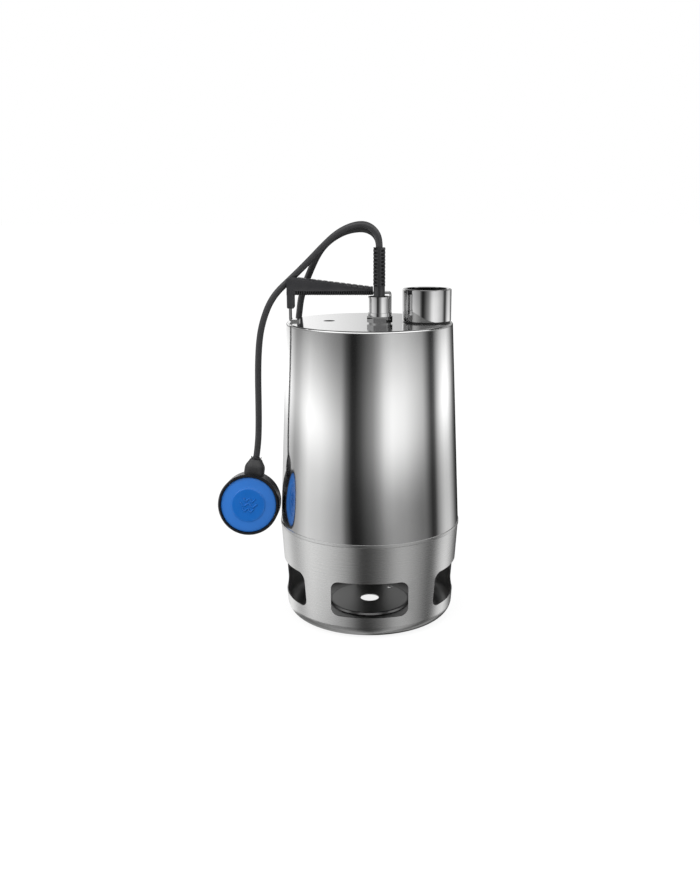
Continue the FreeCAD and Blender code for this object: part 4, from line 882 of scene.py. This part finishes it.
def make_floor():
    """A plain pale floor, which the polished metal doesn't mirror."""
    count = 64
    mesh = bpy.data.meshes.new("floor")
    mesh.from_pydata(circle(FLOOR_RADIUS, FLOOR_HEIGHT, count), [], [tuple(range(count))])
    floor = bpy.data.objects.new("floor", mesh)
    bpy.context.scene.collection.objects.link(floor)
    material = bpy.data.materials.new("floor_white")
    material.use_nodes = True
    nodes, links = material.node_tree.nodes, material.node_tree.links
    nodes.clear()
    output = nodes.new("ShaderNodeOutputMaterial")
    both = nodes.new("ShaderNodeAddShader")
    glow = nodes.new("ShaderNodeEmission")
    glow.inputs["Color"].default_value = (1.0, 1.0, 1.0, 1.0)
    glow.inputs["Strength"].default_value = FLOOR_GLOW
    paper = nodes.new("ShaderNodeBsdfDiffuse")
    paper.inputs["Color"].default_value = (FLOOR_GREY, FLOOR_GREY, FLOOR_GREY, 1.0)
    links.new(glow.outputs[0], both.inputs[0])
    links.new(paper.outputs[0], both.inputs[1])
    links.new(both.outputs[0], output.inputs["Surface"])
    mesh.materials.append(material)
    floor.visible_glossy = False
    floor.visible_diffuse = False


# Brightness that upright metal mirrors, by the compass angle of what it mirrors: 0 is the camera's
# side, positive to the right. Tall soft lights stand where it is high, black flags where it is low.
STRIPS = [
    (-180, 0.72), (-143, 0.90), (-134, 0.84), (-124, 0.60), (-117, 0.44), (-108, 0.50),
    (-98, 0.74), (-87, 0.95), (-66, 0.82), (-38, 0.45), (-31, 0.15), (-24, 0.025), (-19, 0.025),
    (-12, 0.07), (-4, 0.17), (4, 0.27), (12, 0.50), (20, 0.84), (29, 1.0), (46, 0.90),
    (74, 0.50), (82, 0.20), (88, 0.05), (94, 0.08), (100, 0.42), (107, 0.76), (115, 1.0), (126, 1.0),
    (137, 0.55), (147, 0.16), (158, 0.03), (180, 0.0)]
# How those lights fade with elevation in degrees, to the left and to the right of the camera.
LEFT_HEIGHTS = [
    (-90, 0.45), (-44, 0.24), (-34, 0.12), (-31.5, 0.26), (-28.5, 1.22), (-22, 0.80), (-14, 0.62),
    (-11.5, 0.68), (-8.5, 1.32), (-6, 0.82), (-3.4, 0.33), (0, 0.28), (90, 0.28)]
RIGHT_HEIGHTS = [
    (-90, 0.40), (-42, 0.38), (-35, 0.28), (-29, 0.58), (-20, 0.34), (-13.5, 0.24), (-11.5, 0.42),
    (-9, 1.0), (-6, 1.0), (-3.4, 0.52), (0, 0.44), (90, 0.44)]
# Where round the compass the right one of those two counts.
RIGHT_SHARE = [(-180, 0.3), (-150, 0.0), (-28, 0.0), (-14, 1.0), (72, 1.0), (94, 0.3), (180, 0.3)]
# Above the horizon: a bright wall behind the pump, fading to the right and darker overhead, an open
# panel on the left, and a broad soft light over the camera.
BACK = [
    (-180, 0.58), (-176, 0.86), (-165, 1.0), (-140, 0.4), (-90, 0.35), (90, 0.35), (150, 0.30), (168, 0.32),
    (177, 0.43), (180, 0.58)]
BACK_HEIGHTS = [
    (-90, 0.0), (1, 0.30), (5, 0.90), (16, 0.95), (22, 0.80), (28, 0.16), (80, 0.12), (90, 0.20)]
PANEL = [
    (-180, 0.2), (-100, 0.2), (-85, 0.30), (-60, 0.45), (-30, 0.18), (-5, 0.16), (60, 0.25),
    (100, 0.3), (180, 0.2)]
PANEL_HEIGHTS = [(-90, 0.0), (1, 0.2), (4, 1.0), (24, 1.0), (30, 0.0), (90, 0.0)]
OVERHEAD = [(-90, 0.0), (22, 0.0), (29, 1.2), (58, 1.2), (68, 0.2), (90, 0.2)]
REAR_SHARE = [(0, 0.0), (90, 0.0), (120, 1.0), (180, 1.0)]      # of the back, by angle to either side
HORIZON = (0.5, 4.0)    # elevations over which the lower lights give way to the upper ones
MIRRORED_LIGHT = 1.42   # how much brighter all of it is than the numbers above
FLAG_LEAN = 0.8         # how far the lights lean to the right with each degree below LEAN_START
LEAN_START = -12.0
LEAN_REACH = 20.0       # after this many degrees they lean no further
LEAN_SHARE = [(-180, 0.0), (-85, 0.0), (-50, 1.0), (45, 1.0), (70, 0.0), (180, 0.0)]
# The even soft light on all that doesn't mirror, by elevation.
SOFT_LIGHT = [(-90, 0.55), (0, 0.75), (45, 1.05), (90, 1.15)]
DEGREES = 180 / math.pi


def ramp(nodes, links, value, stops, low, high):
    """A ramp of grey through (place, brightness) stops."""
    place = nodes.new("ShaderNodeMapRange")
    place.inputs["From Min"].default_value = low
    place.inputs["From Max"].default_value = high
    links.new(value, place.inputs["Value"])
    node = nodes.new("ShaderNodeValToRGB")
    elements = node.color_ramp.elements
    inner = [elements.new((at - low) / (high - low)) for at, grey in stops[1:-1]]
    for element, (at, grey) in zip([elements[0], *inner, elements[-1]], stops):
        element.color = (grey, grey, grey, 1.0)
    links.new(place.outputs[0], node.inputs[0])
    return node.outputs[0]


def make_studio():
    """White room: tall soft lights and flags for what mirrors, an even soft light for the rest."""
    world = bpy.data.worlds.new("studio")
    bpy.context.scene.world = world
    world.use_nodes = True
    nodes, links = world.node_tree.nodes, world.node_tree.links
    nodes.clear()

    def maths(operation, first, second=0.0):
        return math_node(nodes, links, operation, first, second)

    def blend(share, first, second):
        node = nodes.new("ShaderNodeMix")
        node.data_type = "RGBA"
        links.new(share, node.inputs["Factor"])
        for slot, value in zip((node.inputs[6], node.inputs[7]), (first, second)):
            if isinstance(value, (int, float)):
                slot.default_value = (value, value, value, 1.0)
            else:
                links.new(value, slot)
        return node.outputs[2]

    heading = nodes.new("ShaderNodeTexCoord").outputs["Generated"]
    parts = nodes.new("ShaderNodeSeparateXYZ")
    links.new(heading, parts.inputs[0])
    x, y, z = parts.outputs
    compass = maths("MULTIPLY", maths("ARCTAN2", x, maths("MULTIPLY", y, -1.0)), DEGREES)
    lift = maths("MULTIPLY", maths("ARCSINE", z), DEGREES)

    def by_compass(angle, stops):
        return ramp(nodes, links, angle, stops, -180, 180)

    def by_height(stops):
        return ramp(nodes, links, lift, stops, -90, 90)

    below = maths("MINIMUM", maths("MAXIMUM", maths("SUBTRACT", LEAN_START, lift), 0.0), LEAN_REACH)
    lean = maths("MULTIPLY", maths("MULTIPLY", below, by_compass(compass, LEAN_SHARE)), FLAG_LEAN)
    leant = maths("SUBTRACT", compass, lean)
    fade = blend(by_compass(leant, RIGHT_SHARE), by_height(LEFT_HEIGHTS), by_height(RIGHT_HEIGHTS))
    lower = maths("MULTIPLY", by_compass(leant, STRIPS), fade)
    wall = maths("MULTIPLY", by_height(BACK_HEIGHTS), by_compass(compass, BACK))
    panel = maths("MULTIPLY", by_height(PANEL_HEIGHTS), by_compass(compass, PANEL))
    front = maths("ADD", panel, by_height(OVERHEAD))
    rear = ramp(nodes, links, maths("ABSOLUTE", compass), REAR_SHARE, 0, 180)
    upper = blend(rear, front, wall)
    share = nodes.new("ShaderNodeMapRange")
    share.interpolation_type = "SMOOTHSTEP"
    share.inputs["From Min"].default_value = HORIZON[0]
    share.inputs["From Max"].default_value = HORIZON[1]
    links.new(lift, share.inputs["Value"])
    mirrored = maths("MULTIPLY", blend(share.outputs[0], lower, upper), MIRRORED_LIGHT)
    soft = by_height(SOFT_LIGHT)
    rays = nodes.new("ShaderNodeLightPath")
    lit = blend(rays.outputs["Is Glossy Ray"], soft, mirrored)
    seen = blend(rays.outputs["Is Camera Ray"], lit, 1.0)
    background = nodes.new("ShaderNodeBackground")
    links.new(seen, background.inputs["Color"])
    output = nodes.new("ShaderNodeOutputWorld")
    links.new(background.outputs[0], output.inputs["Surface"])


LAMPS = (               # name, place, power in watts and width
    ("key", (-1.6, -1.5, 2.0), 26.0, 1.6), ("fill", (1.9, -0.9, 1.3), 9.0, 1.4))
LAMP_TARGET = Vector((0.0, 0.0, 0.25))


def make_lights():
    """Two broad soft lights, a key from the upper left and a fill from the right."""
    for name, place, power, size in LAMPS:
        lamp = bpy.data.lights.new(name, "AREA")
        lamp.energy = power
        lamp.size = size
        light = bpy.data.objects.new(name, lamp)
        light.location = place
        light.rotation_euler = (LAMP_TARGET - Vector(place)).to_track_quat("-Z", "Y").to_euler()
        light.visible_glossy = False
        bpy.context.scene.collection.objects.link(light)


# ---------------------------------------------------------------- the scene

make_camera()
dress_nodes()
mains = mains_cable()
float_cable()
plug = plug_body()
sleeve = plug_sleeve()
strain_relief()
handle_grip()
float_shell(1, "float_front_face", "float_front_shell")
float_shell(-1, "float_back_face", "float_back_shell")
float_mark()
float_boot()
make_floor()
make_studio()
make_lights()
bpy.context.scene.view_settings.view_transform = "Standard"
